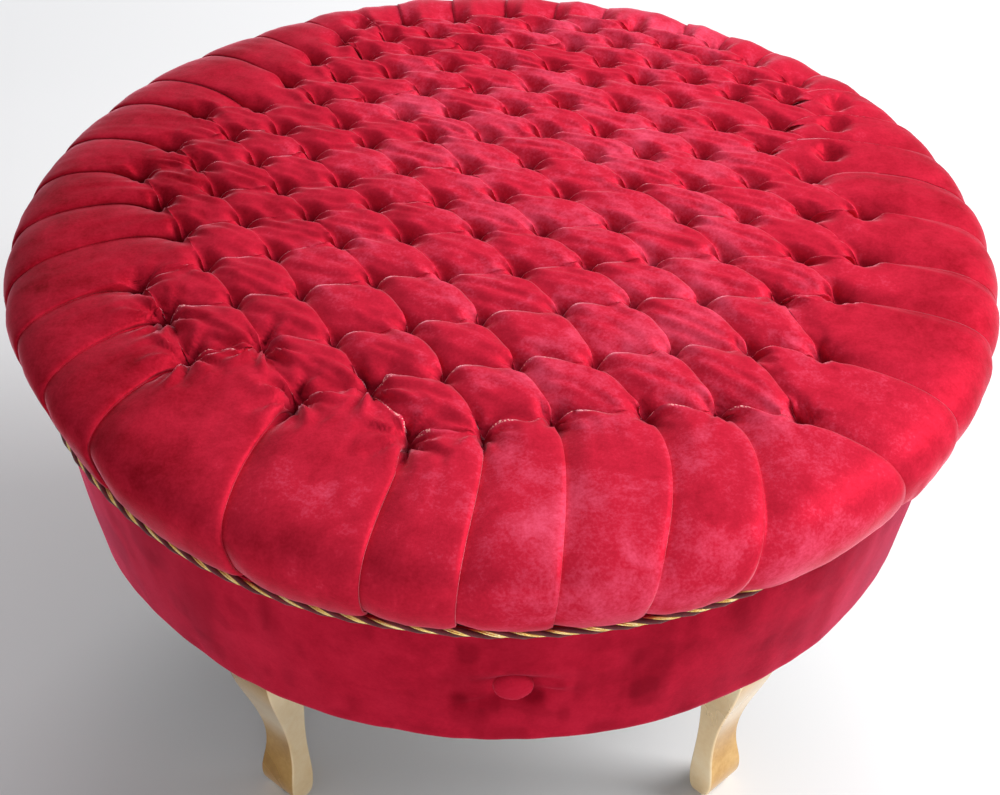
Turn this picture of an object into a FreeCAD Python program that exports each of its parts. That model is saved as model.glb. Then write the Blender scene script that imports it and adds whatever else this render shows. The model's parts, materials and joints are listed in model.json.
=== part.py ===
import FreeCAD, Part
import Sketcher
import math
import os

# Round, fully upholstered ottoman on four cabriole legs, in millimetres.
# +Z is up, the floor is z = 0, the origin is the centre of the footprint and
# the front (the side with the covered button) faces -Y.
# Stack from the floor: glides, legs, steel leg plates, dust cover, plywood base
# board, eight uprights with a bent hardboard panel round them, plywood deck,
# foam, fibre wadding and the velvet seat cover, which is tied down through the
# deck with twine at every tuft. A twisted cord lies in the groove between the
# seat cover and the side band.

doc = FreeCAD.newDocument("ottoman")
sheet = doc.addObject("Spreadsheet::Sheet", "Dims")

DIMS = [
    # overall
    ("base_z", 230.0), ("base_t", 18.0), ("base_r", 328.5),
    ("deck_z", 352.0), ("deck_t", 15.0), ("deck_r", 349.0),
    ("deck_hole_d", 7.0), ("foam_hole_d", 4.0),
    # side stack: every layer is a cone frustum, so a bottom and a top radius
    ("side_z0", 228.0), ("side_z1", 368.0),
    ("band_ro0", 344.0), ("band_ro1", 366.4), ("band_t", 2.0),
    ("pad_t", 9.0), ("panel_t", 4.0), ("side_gap", 0.2),
    ("hem_ri", 318.0), ("hem_t", 2.0),
    # seat layers
    ("cover_t", 2.2), ("wad_t", 24.0),
    # trim cord
    ("cord_r", 3.6), ("cord_ring_r", 370.9), ("cord_z", 368.9),
    # uprights
    ("up_w", 44.0), ("up_d", 28.0), ("up_r", 300.0),
    # deck rails
    ("rail_w", 45.0), ("rail_h", 25.0), ("rail_l", 560.0), ("rail_y", 120.0),
    # tufting twine and its staples
    ("twine_d", 1.8), ("twine_drop", 9.0),
    ("stp_crown", 12.0), ("stp_leg", 8.0), ("stp_wire", 1.2),
    # dust cover
    ("dust_r", 326.0), ("dust_t", 1.2), ("dust_z", 226.6),
    # legs
    ("leg_w", 64.0), ("leg_top", 223.4), ("leg_bottom", 3.0), ("leg_edge", 1.6),
    ("plate_w", 66.0), ("plate_t", 3.0), ("plate_z", 223.5), ("plate_r", 262.0),
    ("plate_hole_d", 5.0), ("plate_hole_off", 25.0), ("boss_d", 16.0), ("boss_len", 20.0),
    ("bolt_d", 8.0), ("bolt_down", 36.0), ("bolt_up", 6.0),
    ("glide_d", 14.0), ("glide_t", 3.0), ("glide_pin_d", 2.4), ("glide_pin_len", 12.0),
    ("glide_r", 254.6),
    # covered button on the band
    ("btn_d", 30.0), ("btn_h", 7.0), ("btn_z", 299.0), ("btn_out", 1.0),
    ("btn_back_d", 26.0), ("btn_back_t", 2.0),
    # screws
    ("scr_d", 4.0), ("scr_head_d", 8.0), ("scr_head_t", 2.4), ("scr_len", 40.0),
    ("pscr_len", 16.0),
]
S = {}
for n, (name, value) in enumerate(DIMS):
    sheet.set("A%d" % (n + 1), name)
    sheet.set("B%d" % (n + 1), str(value))
    sheet.setAlias("B%d" % (n + 1), name)
    S[name] = value

# Profile of the finished seat, radius and height from the crown to the groove.
SEAT = [(0, 460), (80, 459.6), (150, 458.5), (260, 456), (332, 453), (365, 449), (385, 441.5),
        (395, 430), (398, 416), (395, 402), (388, 389), (379.5, 380), (371.5, 374.6), (366, 372.4)]
# Leg profile: height, outer radius and inner radius in its own radial plane, and its width.
LEG = [(223.4, 292, 246, 52), (205, 296, 249, 52), (185, 297, 252, 52), (160, 294, 254, 51),
       (135, 287, 253, 47), (110, 277.5, 250, 38.5), (85, 269, 247.5, 32), (62, 265, 246, 31.5),
       (42, 265.5, 245, 35.5), (26, 268, 244.5, 39), (14, 267.5, 245, 39.5), (6, 264, 246.5, 38),
       (3, 261, 248, 36.5)]
for block, (tag, rows) in enumerate((("seat", SEAT), ("leg", LEG))):
    for n, row in enumerate(rows):
        for c, val in enumerate(row):
            cell = "%s%d" % ("DEFGHIJ"[block * 3 + c], n + 1)
            sheet.set(cell, str(float(val)))
            sheet.setAlias(cell, "%s_%s_%s" % (tag, "abcd"[c], "abcdefghijklmnop"[n]))

# Tuft centres, x, y and the depth to which the twine pulls the cover.
TUFTS = [
    (-120, 324, 438), (-78, 328, 437), (12, 340, 438), (56, 339, 438), (98, 340, 440),
    (-137, 294, 437), (-94, 298, 437), (-53, 305, 437), (-5, 310, 437), (39, 316, 437),
    (83, 314, 437), (126, 316, 438), (169, 313, 440), (-159, 260, 436), (-114, 269, 436),
    (-67, 272, 436), (-24, 280, 436), (21, 285, 436), (68, 283, 436), (111, 285, 436),
    (153, 286, 437), (199, 287, 439), (-180, 224, 436), (-136, 230, 436), (-90, 236, 436),
    (-42, 245, 436), (5, 251, 436), (51, 244, 436), (95, 253, 436), (142, 252, 436),
    (187, 257, 437), (227, 258, 438), (-252, 177, 436), (-205, 185, 436), (-154, 194, 436),
    (-110, 195, 437), (-63, 207, 437), (-16, 208, 437), (32, 209, 437), (81, 221, 437),
    (127, 223, 436), (171, 225, 436), (217, 226, 437), (261, 224, 438), (-273, 128, 436),
    (-225, 138, 436), (-184, 146, 437), (-132, 154, 437), (-80, 167, 438), (-38, 169, 438),
    (13, 170, 438), (56, 181, 438), (107, 178, 437), (154, 186, 436), (206, 200, 436),
    (250, 195, 437), (294, 188, 439), (-295, 88, 436), (-250, 94, 436), (-202, 100, 437),
    (-157, 108, 438), (-110, 125, 438), (-57, 132, 439), (-11, 130, 439), (38, 135, 439),
    (87, 137, 438), (141, 147, 437), (190, 150, 436), (238, 152, 436), (287, 153, 437),
    (-276, 46, 436), (-233, 56, 436), (-180, 59, 438), (-131, 66, 438), (-81, 81, 439),
    (-29, 82, 439), (24, 92, 439), (76, 100, 439), (121, 105, 438), (169, 108, 437),
    (223, 116, 436), (277, 108, 436), (-256, 3, 436), (-209, 15, 437), (-156, 21, 438),
    (-104, 33, 439), (-51, 34, 439), (-2, 42, 440), (51, 46, 439), (106, 59, 439),
    (156, 58, 438), (208, 62, 437), (253, 75, 436), (-284, -63, 436), (-236, -44, 436),
    (-182, -32, 438), (-132, -18, 439), (-79, -12, 439), (-21, -7, 440), (30, -4, 440),
    (89, 2, 439), (146, 11, 438), (195, 12, 438), (247, 22, 436), (295, 22, 436),
    (-260, -103, 436), (-209, -91, 437), (-160, -83, 438), (-103, -71, 439), (-48, -64, 439),
    (9, -58, 439), (66, -51, 439), (117, -44, 439), (174, -39, 438), (234, -38, 436),
    (284, -39, 436), (-240, -157, 436), (-186, -146, 436), (-132, -140, 438), (-76, -128, 438),
    (-21, -118, 439), (42, -107, 439), (98, -99, 439), (152, -95, 438), (211, -89, 437),
    (258, -88, 436), (-157, -205, 436), (-104, -196, 437), (-50, -184, 438), (6, -171, 438),
    (64, -172, 438), (124, -156, 437), (182, -156, 436), (237, -159, 436), (-75, -251, 436),
    (-21, -245, 436), (30, -230, 437), (98, -226, 436), (152, -223, 436), (212, -230, 437),
]
# The twines of the outermost tufts lean inwards, so that their holes stay in the deck.
LIMIT = 336.0
TUFTS = [(x, y, z) if math.hypot(x, y) < LIMIT else
         (x * LIMIT / math.hypot(x, y), y * LIMIT / math.hypot(x, y), z) for x, y, z in TUFTS]
doc.recompute()


def val(name):
    return float(sheet.get(name))


class Dim:
    """A number that remembers the spreadsheet expression it came from."""

    def __init__(self, v, e):
        self.v = float(v)
        self.e = e

    def __add__(self, o):
        o = dim(o)
        return Dim(self.v + o.v, "(%s + %s)" % (self.e, o.e))

    def __sub__(self, o):
        o = dim(o)
        return Dim(self.v - o.v, "(%s - %s)" % (self.e, o.e))

    def __mul__(self, o):
        o = dim(o)
        return Dim(self.v * o.v, "(%s * %s)" % (self.e, o.e))


def dim(x):
    if isinstance(x, Dim):
        return x
    if isinstance(x, str):
        return Dim(S[x], "Dims." + x)
    return Dim(x, repr(float(x)))


V = FreeCAD.Vector
DONE = []


def plane_of(body, role):
    for f in body.Origin.OriginFeatures:
        if f.Role == role:
            return f
    raise RuntimeError(role)


def new_body(label):
    body = doc.addObject("PartDesign::Body", "B_" + label)
    body.Label = label
    DONE.append(body)
    return body


def new_sketch(body, name, role="XY_Plane"):
    sk = body.newObject("Sketcher::SketchObject", name)
    sk.AttachmentSupport = [(plane_of(body, role), "")]
    sk.MapMode = "FlatFace"
    return sk


def polygon(sk, pts):
    """Closed polygon; every corner is tied to the sheet."""
    pts = [(dim(a), dim(b)) for a, b in pts]
    n = len(pts)
    for i in range(n):
        a, b = pts[i], pts[(i + 1) % n]
        sk.addGeometry(Part.LineSegment(V(a[0].v, a[1].v, 0), V(b[0].v, b[1].v, 0)), False)
    for i in range(n):
        sk.addConstraint(Sketcher.Constraint("Coincident", i, 2, (i + 1) % n, 1))
    for i, (a, b) in enumerate(pts):
        if abs(a.v) < 1e-9:
            sk.addConstraint(Sketcher.Constraint("PointOnObject", i, 1, -2))
        else:
            k = sk.addConstraint(Sketcher.Constraint("DistanceX", -1, 1, i, 1, a.v))
            sk.renameConstraint(k, "px%d" % i)
            sk.setExpression("Constraints.px%d" % i, a.e)
        if abs(b.v) < 1e-9:
            sk.addConstraint(Sketcher.Constraint("PointOnObject", i, 1, -1))
        else:
            k = sk.addConstraint(Sketcher.Constraint("DistanceY", -1, 1, i, 1, b.v))
            sk.renameConstraint(k, "py%d" % i)
            sk.setExpression("Constraints.py%d" % i, b.e)


def circle(sk, r):
    r = dim(r)
    g = sk.addGeometry(Part.Circle(V(0, 0, 0), V(0, 0, 1), r.v), False)
    sk.addConstraint(Sketcher.Constraint("Coincident", g, 3, -1, 1))
    k = sk.addConstraint(Sketcher.Constraint("Radius", g, r.v))
    sk.renameConstraint(k, "rad%d" % g)
    sk.setExpression("Constraints.rad%d" % g, r.e)
    return g


def revolve(body, sk):
    rev = body.newObject("PartDesign::Revolution", sk.Name + "_rev")
    rev.Profile = sk
    rev.ReferenceAxis = (sk, ["V_Axis"])
    rev.Angle = 360.0
    body.Tip = rev
    return rev


def revolved_polygon(label, pts):
    body = new_body(label)
    sk = new_sketch(body, "S_" + label, "XZ_Plane")
    polygon(sk, pts)
    revolve(body, sk)
    return body


def pad(body, sk, length):
    p = body.newObject("PartDesign::Pad", sk.Name + "_pad")
    p.Profile = sk
    length = dim(length)
    p.Length = length.v
    p.setExpression("Length", length.e)
    body.Tip = p
    return p


def feature(label, shape, placement=None):
    f = doc.addObject("Part::Feature", "F_" + label)
    f.Label = label
    f.Shape = shape
    if placement is not None:
        f.Placement = placement
    DONE.append(f)
    return f


def offset_profile(pts, d):
    """Offsets a radius/height profile inwards by d."""
    out = []
    for i, p in enumerate(pts):
        a = pts[max(i - 1, 0)]
        b = pts[min(i + 1, len(pts) - 1)]
        tx, ty = b[0] - a[0], b[1] - a[1]
        ln = math.hypot(tx, ty)
        nx, ny = ty / ln, -tx / ln
        out.append((p[0] + nx * d, p[1] + ny * d))
    out[0] = (0.0, pts[0][1] - d)
    return out


def seat_rows():
    return [(val("seat_a_" + "abcdefghijklmnop"[n]), val("seat_b_" + "abcdefghijklmnop"[n]))
            for n in range(len(SEAT))]


def spline_edge(pts):
    c = Part.BSplineCurve()
    c.interpolate([V(p[0], 0, p[1]) for p in pts])
    return c.toShape()


def line(a, b):
    return Part.makeLine(V(a[0], 0, a[1]), V(b[0], 0, b[1]))


def revolve_wire(edges):
    w = Part.Wire(Part.__sortEdges__(edges))
    f = Part.Face(w)
    s = f.revolve(V(0, 0, 0), V(0, 0, 1), 360.0)
    if s.ShapeType != "Solid":
        s = Part.Solid(s) if s.ShapeType == "Shell" else s
    if s.Volume < 0:
        s.reverse()
    return s


# ---------------------------------------------------------------- base board
base = new_body("base_board")
sk = new_sketch(base, "S_base_board")
circle(sk, "base_r")
pad(base, sk, "base_t")
hs = new_sketch(base, "S_base_holes")
q = dim("plate_r") * (math.sqrt(0.5))
k0 = 0
for sx, sy in ((1, 1), (-1, 1), (-1, -1), (1, -1)):
    g = hs.addGeometry(Part.Circle(V(sx * q.v, sy * q.v, 0), V(0, 0, 1), 9.0), False)
    for axis, sgn in (("X", sx), ("Y", sy)):
        if sgn > 0:
            c = Sketcher.Constraint("Distance" + axis, -1, 1, g, 3, q.v)
        else:
            c = Sketcher.Constraint("Distance" + axis, g, 3, -1, 1, q.v)
        k = hs.addConstraint(c)
        hs.renameConstraint(k, "h%s%d" % (axis, g))
        hs.setExpression("Constraints.h%s%d" % (axis, g), q.e)
    k = hs.addConstraint(Sketcher.Constraint("Radius", g, 9.0))
    hs.renameConstraint(k, "hr%d" % g)
    hs.setExpression("Constraints.hr%d" % g, "(Dims.boss_d / 2 + 0.5)")
doc.recompute()
before = base.Shape.Volume
pk = base.newObject("PartDesign::Pocket", "base_holes")
pk.Profile = hs
pk.Type = 1
pk.Reversed = True
base.Tip = pk
doc.recompute()
if not base.Shape.Volume < before - 1000:
    pk.Reversed = False
    doc.recompute()
assert base.Shape.Volume < before - 1000, "the base board's holes cut nothing"
base.setExpression("Placement.Base.z", "Dims.base_z")

# ------------------------------------------------------------------ seat deck
deck = doc.addObject("Part::Cylinder", "deck_disc")
deck.setExpression("Radius", "Dims.deck_r")
deck.setExpression("Height", "Dims.deck_t")
deck.setExpression("Placement.Base.z", "Dims.deck_z")
drills = doc.addObject("Part::Feature", "deck_drills")
drills.Shape = Part.makeCompound([
    Part.makeCylinder(val("deck_hole_d") / 2, val("deck_t") + 4, V(x, y, val("deck_z") - 2))
    for x, y, z in TUFTS])
seat_deck = doc.addObject("Part::Cut", "F_seat_deck")
seat_deck.Base = deck
seat_deck.Tool = drills
seat_deck.Label = "seat_deck"
DONE.append(seat_deck)

# ------------------------------------------------------------------ uprights
UP_NAMES = ["right", "rear_right", "rear", "rear_left", "left", "front_left", "front", "front_right"]
for i, nm in enumerate(UP_NAMES):
    a = 45.0 * i + 22.5
    b = doc.addObject("Part::Box", "F_upright_" + nm)
    b.Label = "upright_" + nm
    b.setExpression("Length", "Dims.up_d")
    b.setExpression("Width", "Dims.up_w")
    b.setExpression("Height", "Dims.deck_z - Dims.base_z - Dims.base_t")
    ca, sa = math.cos(math.radians(a)), math.sin(math.radians(a))
    b.Placement = FreeCAD.Placement(V(0, 0, 0), FreeCAD.Rotation(V(0, 0, 1), a))
    b.setExpression("Placement.Base.x", "(Dims.up_r - Dims.up_d / 2) * %.9f + Dims.up_w / 2 * %.9f" % (ca, sa))
    b.setExpression("Placement.Base.y", "(Dims.up_r - Dims.up_d / 2) * %.9f - Dims.up_w / 2 * %.9f" % (sa, ca))
    b.setExpression("Placement.Base.z", "Dims.base_z + Dims.base_t")
    DONE.append(b)

# ------------------------------------------------- rails under the seat deck
for nm, sgn in (("front", -1), ("rear", 1)):
    cut = []
    r = Part.makeBox(val("rail_l"), val("rail_w"), val("rail_h"),
                     V(-val("rail_l") / 2, sgn * val("rail_y") - val("rail_w") / 2, val("deck_z") - val("rail_h")))
    for x, y, z in TUFTS:
        cut.append(Part.makeCylinder(val("deck_hole_d") / 2 + 5.0, val("rail_h") + 4,
                                     V(x, y, val("deck_z") - val("rail_h") - 2)))
    feature("deck_rail_" + nm, r.cut(Part.makeCompound(cut)))

# ---------------------------------------------------------------- side layers


def side_r(z, off):
    """Radius of the side at height z (a Dim), off millimetres inside the velvet."""
    t = (dim(z) - dim("side_z0")) * Dim(1.0 / (S["side_z1"] - S["side_z0"]), "(1 / (Dims.side_z1 - Dims.side_z0))")
    return dim("band_ro0") + (dim("band_ro1") - dim("band_ro0")) * t - off


def layer(label, z0, z1, o_out, o_in):
    return revolved_polygon(label, [
        (side_r(z0, o_in), z0), (side_r(z0, o_out), z0), (side_r(z1, o_out), z1), (side_r(z1, o_in), z1)])


g = dim("side_gap")
bt, pt, nt = dim("band_t"), dim("pad_t"), dim("panel_t")
z_lo = dim("base_z") + 0.2
z_hi = dim("side_z1") - 1.0
layer("side_panel", z_lo, z_hi, bt + pt + g + g, bt + pt + nt + g + g)
layer("side_padding", z_lo, z_hi, bt + g, bt + pt + g)
# Velvet band: cone frustum with its lower edge turned under the base board.
z0, z1 = dim("side_z0"), dim("side_z1")
zh = z0 + dim("hem_t") - 0.1
revolved_polygon("side_cover", [
    ("hem_ri", z0), (side_r(z0, 0), z0), (side_r(z1, 0), z1), (side_r(z1, bt), z1),
    (side_r(zh, bt), zh), ("hem_ri", zh)])

# --------------------------------------------------------------- seat layers
outer = seat_rows()
t1 = val("cover_t")
t2 = val("wad_t")
mid = offset_profile(outer, t1)
lip_z = outer[-1][1]
# velvet cover: shell that ends in a lip stapled to the deck's edge
inner_cut = [p for p in mid if p[1] > lip_z + 1.5]
end_in = (outer[-1][0] - 3.2, lip_z)
feature("seat_cover", revolve_wire([
    spline_edge(outer), line(outer[-1], end_in), line(end_in, inner_cut[-1]),
    spline_edge(inner_cut[::-1]), line(inner_cut[0], outer[0])]))
# fibre wadding between the velvet and the foam
w_out = offset_profile(outer, t1 + 0.25)
w_out = [p for p in w_out if p[1] > lip_z + 3.0]
core = [(0, 433.4), (150, 431.5), (260, 428.5), (310, 425), (345, 417), (362, 405), (366, 394),
        (363, 382), (357, 373)]
w_in = core
wa = (w_out[-1][0] - 1.0, 371.2)
wb = (w_in[-1][0] + 0.3, 371.2)
w_in2 = offset_profile(core, -0.25)
w_in2[-1] = (wb[0], wb[1] + 1.6)
wad = revolve_wire([spline_edge(w_out), line(w_out[-1], wa), line(wa, wb), line(wb, w_in2[-1]),
                    spline_edge(w_in2[::-1]), line(w_in2[0], w_out[0])])
feature("seat_wadding", wad)
# foam block, crowned, its lower edge resting on the deck
fz = val("deck_z") + val("deck_t")
foam_pts = [(p[0], p[1] - 0.6) for p in core] + [(349.0, fz), (0, fz)]
foam = revolve_wire([line(foam_pts[n], foam_pts[(n + 1) % len(foam_pts)]) for n in range(len(foam_pts))])
holes = Part.makeCompound([Part.makeCylinder(val("foam_hole_d") / 2, 90, V(x, y, fz - 2)) for x, y, z in TUFTS])
feature("seat_foam", foam.cut(holes))

# -------------------------------------------------- tufting twine and staples
lo = val("deck_z") - val("twine_drop")
twines, staples = [], []
for n, (x, y, z) in enumerate(TUFTS):
    twines.append(Part.makeCylinder(val("twine_d") / 2, min(z - 6.0, 425.0 - 0.0) - lo, V(x, y, lo)))
feature("tufting_twine", Part.makeCompound(twines))
w, c, lg = val("stp_wire"), val("stp_crown"), val("stp_leg")
for n, (x, y, z) in enumerate(TUFTS):
    under = abs(abs(y) - val("rail_y")) < val("rail_w") / 2 + 8 and abs(x) < val("rail_l") / 2 + 8
    if under:
        continue
    crown = Part.makeBox(c, w, w, V(x - c / 2, y + 4.8, val("deck_z") - w))
    staples.append(crown)
feature("twine_staples", Part.makeCompound(staples))

# ------------------------------------------------------------------ trim cord
cord = doc.addObject("Part::Torus", "F_trim_cord")
cord.Label = "trim_cord"
cord.setExpression("Radius1", "Dims.cord_ring_r")
cord.setExpression("Radius2", "Dims.cord_r")
cord.setExpression("Placement.Base.z", "Dims.cord_z")
DONE.append(cord)

# ------------------------------------------------------------- covered button
tilt = math.degrees(math.atan2(S["band_ro1"] - S["band_ro0"], S["side_z1"] - S["side_z0"]))
bz = val("btn_z")
br = S["band_ro0"] + (S["band_ro1"] - S["band_ro0"]) * (bz - S["side_z0"]) / (S["side_z1"] - S["side_z0"])
# local +Z of the button points out of the band towards -Y, tipped down by the taper
rot = FreeCAD.Rotation(V(1, 0, 0), 90.0 + tilt)


def btn_shape():
    r, h = val("btn_d") / 2, val("btn_h")
    e = [Part.Arc(V(0, 0, h), V(r * 0.62, 0, h * 0.80), V(r - 0.8, 0, h * 0.30)).toShape(),
         Part.Arc(V(r - 0.8, 0, h * 0.30), V(r, 0, h * 0.14), V(r - 1.2, 0, 0)).toShape(),
         Part.makeLine(V(r - 1.2, 0, 0), V(0, 0, 0)), Part.makeLine(V(0, 0, 0), V(0, 0, h))]
    return Part.Face(Part.Wire(e)).revolve(V(0, 0, 0), V(0, 0, 1), 360.0)


base_pos = V(0, -(br - S["band_t"] + 2.2), bz)
feature("front_button", btn_shape(), FreeCAD.Placement(base_pos, rot))
back = new_body("front_button_tack")
sk = new_sketch(back, "S_tack", "XZ_Plane")
polygon(sk, [(0, 0), (1.2, 0), (1.2, 12.0), (dim("btn_back_d") * 0.5, 12.0),
             (dim("btn_back_d") * 0.5, dim("btn_back_t") * 0.3 + 12.0), (0, dim("btn_back_t") * 0.3 + 12.0)])
revolve(back, sk)
# the tack runs from just under the button's back through the padding into the panel
out = V(0, -math.cos(math.radians(tilt)), -math.sin(math.radians(tilt)))
back.Placement = FreeCAD.Placement(base_pos - out * 12.65, rot)

# ------------------------------------------------------------------------ legs
LEG_AT = [("rear_right", 45.0), ("rear_left", 135.0), ("front_left", 225.0), ("front_right", 315.0)]
rows = [(val("leg_a_" + "abcdefghijklmnop"[n]), val("leg_b_" + "abcdefghijklmnop"[n]),
         val("leg_c_" + "abcdefghijklmnop"[n]), val("leg_d_" + "abcdefghijklmnop"[n]) / 2)
        for n in range(len(LEG))]
screws, pscrews, bolts = [], [], []
for nm, az in LEG_AT:
    turn = FreeCAD.Rotation(V(0, 0, 1), az)
    leg = new_body("leg_" + nm)
    sk = new_sketch(leg, "S_leg_" + nm, "XZ_Plane")
    for side in (1, 2):
        c = Part.BSplineCurve()
        c.interpolate([V(row[side], row[0], 0) for row in rows])
        sk.addGeometry(c, False)
    for k in (0, -1):
        sk.addGeometry(Part.LineSegment(V(rows[k][1], rows[k][0], 0), V(rows[k][2], rows[k][0], 0)), False)
    p = pad(leg, sk, "leg_w")
    p.Midplane = True
    doc.recompute()
    # the sides are sawn to a second curve: wide at the knee, slim at the ankle
    before = leg.Shape.Volume
    ss = new_sketch(leg, "S_sides_" + nm, "YZ_Plane")
    for sg in (-1, 1):
        c = Part.BSplineCurve()
        c.interpolate([V(sg * row[3], row[0], 0) for row in rows])
        ss.addGeometry(c, False)
        o = sg * 50.0
        top, bot = rows[0], rows[-1]
        ring = [(sg * top[3], top[0]), (o, top[0]), (o, bot[0]), (sg * bot[3], bot[0])]
        for i0 in range(3):
            ss.addGeometry(Part.LineSegment(V(ring[i0][0], ring[i0][1], 0), V(ring[i0 + 1][0], ring[i0 + 1][1], 0)),
                           False)
    cut = leg.newObject("PartDesign::Pocket", "sides_" + nm)
    cut.Profile = ss
    cut.Type = 1
    cut.Midplane = True
    leg.Tip = cut
    doc.recompute()
    assert leg.Shape.Volume < before * 0.9, "the leg's sides cut nothing"
    p = cut
    fl = leg.newObject("PartDesign::Fillet", "round_" + nm)
    edges = []
    for n, e in enumerate(leg.Shape.Edges):
        bb = e.BoundBox
        if bb.ZLength > 100:
            edges.append("Edge%d" % (n + 1))
    fl.Base = (p, edges)
    fl.Radius = val("leg_edge")
    fl.setExpression("Radius", "Dims.leg_edge")
    leg.Tip = fl
    doc.recompute()
    assert len(edges) == 4, "leg edges"
    # hole up the leg for the hanger bolt
    hk = new_sketch(leg, "S_bolt_" + nm)
    gk = hk.addGeometry(Part.Circle(V(S["plate_r"], 0, 0), V(0, 0, 1), 4.2), False)
    kk = hk.addConstraint(Sketcher.Constraint("Radius", gk, 4.2))
    hk.renameConstraint(kk, "br")
    hk.setExpression("Constraints.br", "(Dims.bolt_d / 2 + 0.15)")
    kk = hk.addConstraint(Sketcher.Constraint("DistanceX", -1, 1, gk, 3, S["plate_r"]))
    hk.renameConstraint(kk, "bx")
    hk.setExpression("Constraints.bx", "Dims.plate_r")
    hk.addConstraint(Sketcher.Constraint("PointOnObject", gk, 3, -1))
    hk.AttachmentOffset = FreeCAD.Placement(V(0, 0, S["leg_top"]), FreeCAD.Rotation())
    hk.setExpression("AttachmentOffset.Base.z", "Dims.leg_top")
    doc.recompute()
    before = leg.Shape.Volume
    bh = leg.newObject("PartDesign::Pocket", "bolt_hole_" + nm)
    bh.Profile = hk
    bh.Length = 38.0
    bh.setExpression("Length", "(Dims.bolt_down + 2)")
    leg.Tip = bh
    doc.recompute()
    if not leg.Shape.Volume < before - 500:
        bh.Reversed = True
        doc.recompute()
    assert leg.Shape.Volume < before - 500, "the bolt hole cuts nothing"
    leg.Placement = FreeCAD.Placement(V(0, 0, 0), turn)

    # steel mounting plate with a threaded boss that goes up into the base board
    pr, pz, hw = val("plate_r"), val("plate_z"), val("plate_w") / 2
    pl = Part.makeBox(2 * hw, 2 * hw, val("plate_t"), V(pr - hw, -hw, pz))
    pl = pl.makeFillet(6.0, [e for e in pl.Edges if e.BoundBox.ZLength > 1 and e.BoundBox.XLength < 0.1
                             and e.BoundBox.YLength < 0.1])
    pl = pl.fuse(Part.makeCylinder(val("boss_d") / 2, val("boss_len"), V(pr, 0, pz)))
    pl = pl.cut(Part.makeCylinder(val("bolt_d") / 2 + 0.1, val("boss_len") + 4, V(pr, 0, pz - 2)))
    off = val("plate_hole_off")
    for sx in (-1, 1):
        for sy in (-1, 1):
            pl = pl.cut(Part.makeCylinder(val("plate_hole_d") / 2, 8, V(pr + sx * off, sy * off, pz - 2)))
    feature("leg_plate_" + nm, pl.removeSplitter(), FreeCAD.Placement(V(0, 0, 0), turn))
    # hanger bolt
    b = Part.makeCylinder(val("bolt_d") / 2, val("bolt_down") + val("boss_len") - val("bolt_up"),
                          V(pr, 0, val("leg_top") - val("bolt_down")))
    b.Placement = FreeCAD.Placement(V(0, 0, 0), turn)
    bolts.append(b)
    for sx in (-1, 1):
        for sy in (-1, 1):
            x0, y0 = pr + sx * off, sy * off
            head = Part.makeCone(val("scr_head_d") / 2 - 0.6, val("scr_head_d") / 2, val("scr_head_t") - 0.6,
                                 V(x0, y0, pz - val("scr_head_t") + 0.55))
            shank = Part.makeCylinder(val("scr_d") / 2, val("pscr_len"), V(x0, y0, pz - 0.06))
            s = head.fuse(shank)
            s.Placement = FreeCAD.Placement(V(0, 0, 0), turn)
            pscrews.append(s)
    # nylon nail-in glide under the foot
    gl = new_body("foot_glide_" + nm)
    sk = new_sketch(gl, "S_glide_" + nm, "XZ_Plane")
    polygon(sk, [(0, 0), (dim("glide_d") * 0.42, 0), (dim("glide_d") * 0.5, 1.2), (dim("glide_d") * 0.5, "glide_t"),
                 (0, "glide_t")])
    revolve(gl, sk)
    gr = val("glide_r")
    gl.Placement = FreeCAD.Placement(V(gr * math.cos(math.radians(az)), gr * math.sin(math.radians(az)), 0), turn)

# the plate screws pass the dust cover and bite the base board from below
feature("leg_plate_screws", Part.makeCompound(pscrews))
feature("leg_bolts", Part.makeCompound(bolts))

# ----------------------------------------------------------------- dust cover
dust = Part.makeCylinder(val("dust_r"), val("dust_t"), V(0, 0, val("dust_z")))
cuts = []
for nm, az in LEG_AT:
    x, y = val("plate_r") * math.cos(math.radians(az)), val("plate_r") * math.sin(math.radians(az))
    cuts.append(Part.makeCylinder(val("boss_d") / 2 + 0.4, 6, V(x, y, val("dust_z") - 2)))
    for sx in (-1, 1):
        for sy in (-1, 1):
            o = val("plate_hole_off")
            ca, sa = math.cos(math.radians(az)), math.sin(math.radians(az))
            dx, dy = sx * o, sy * o
            cuts.append(Part.makeCylinder(val("scr_d") / 2 + 0.2, 6, V(x + ca * dx - sa * dy, y + sa * dx + ca * dy,
                                                                  val("dust_z") - 2)))
feature("dust_cover", dust.cut(Part.makeCompound(cuts)))
ds = []
for n in range(48):
    a = math.radians(7.5 * n + 3.75)
    bx = Part.makeBox(0.9, 10.0, 0.7, V(-0.45, -5.0, 0))
    bx.Placement = FreeCAD.Placement(V(321.0 * math.cos(a), 321.0 * math.sin(a), val("dust_z") - 0.72),
                                     FreeCAD.Rotation(V(0, 0, 1), math.degrees(a) + (6 if n % 3 else -9)))
    ds.append(bx)
feature("dust_cover_staples", Part.makeCompound(ds))

# --------------------------------------------- screws through base and deck
fs = []
for i in range(8):
    a = math.radians(45.0 * i + 22.5)
    for dy in (-11.0, 11.0):
        x = val("up_r") * math.cos(a) - dy * math.sin(a)
        y = val("up_r") * math.sin(a) + dy * math.cos(a)
        head = Part.makeCone(val("scr_head_d") / 2, val("scr_d") / 2, val("scr_head_t"), V(x, y, val("base_z") - 0.6))
        sh = Part.makeCylinder(val("scr_d") / 2, val("scr_len"), V(x, y, val("base_z") - 0.6 + val("scr_head_t")))
        fs.append(head.fuse(sh))
frame_screws = fs
# pilot holes so that the screws sit in the wood rather than across it
pilot = Part.makeCompound(fs)
feature("frame_screws", pilot)

doc.recompute()
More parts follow.
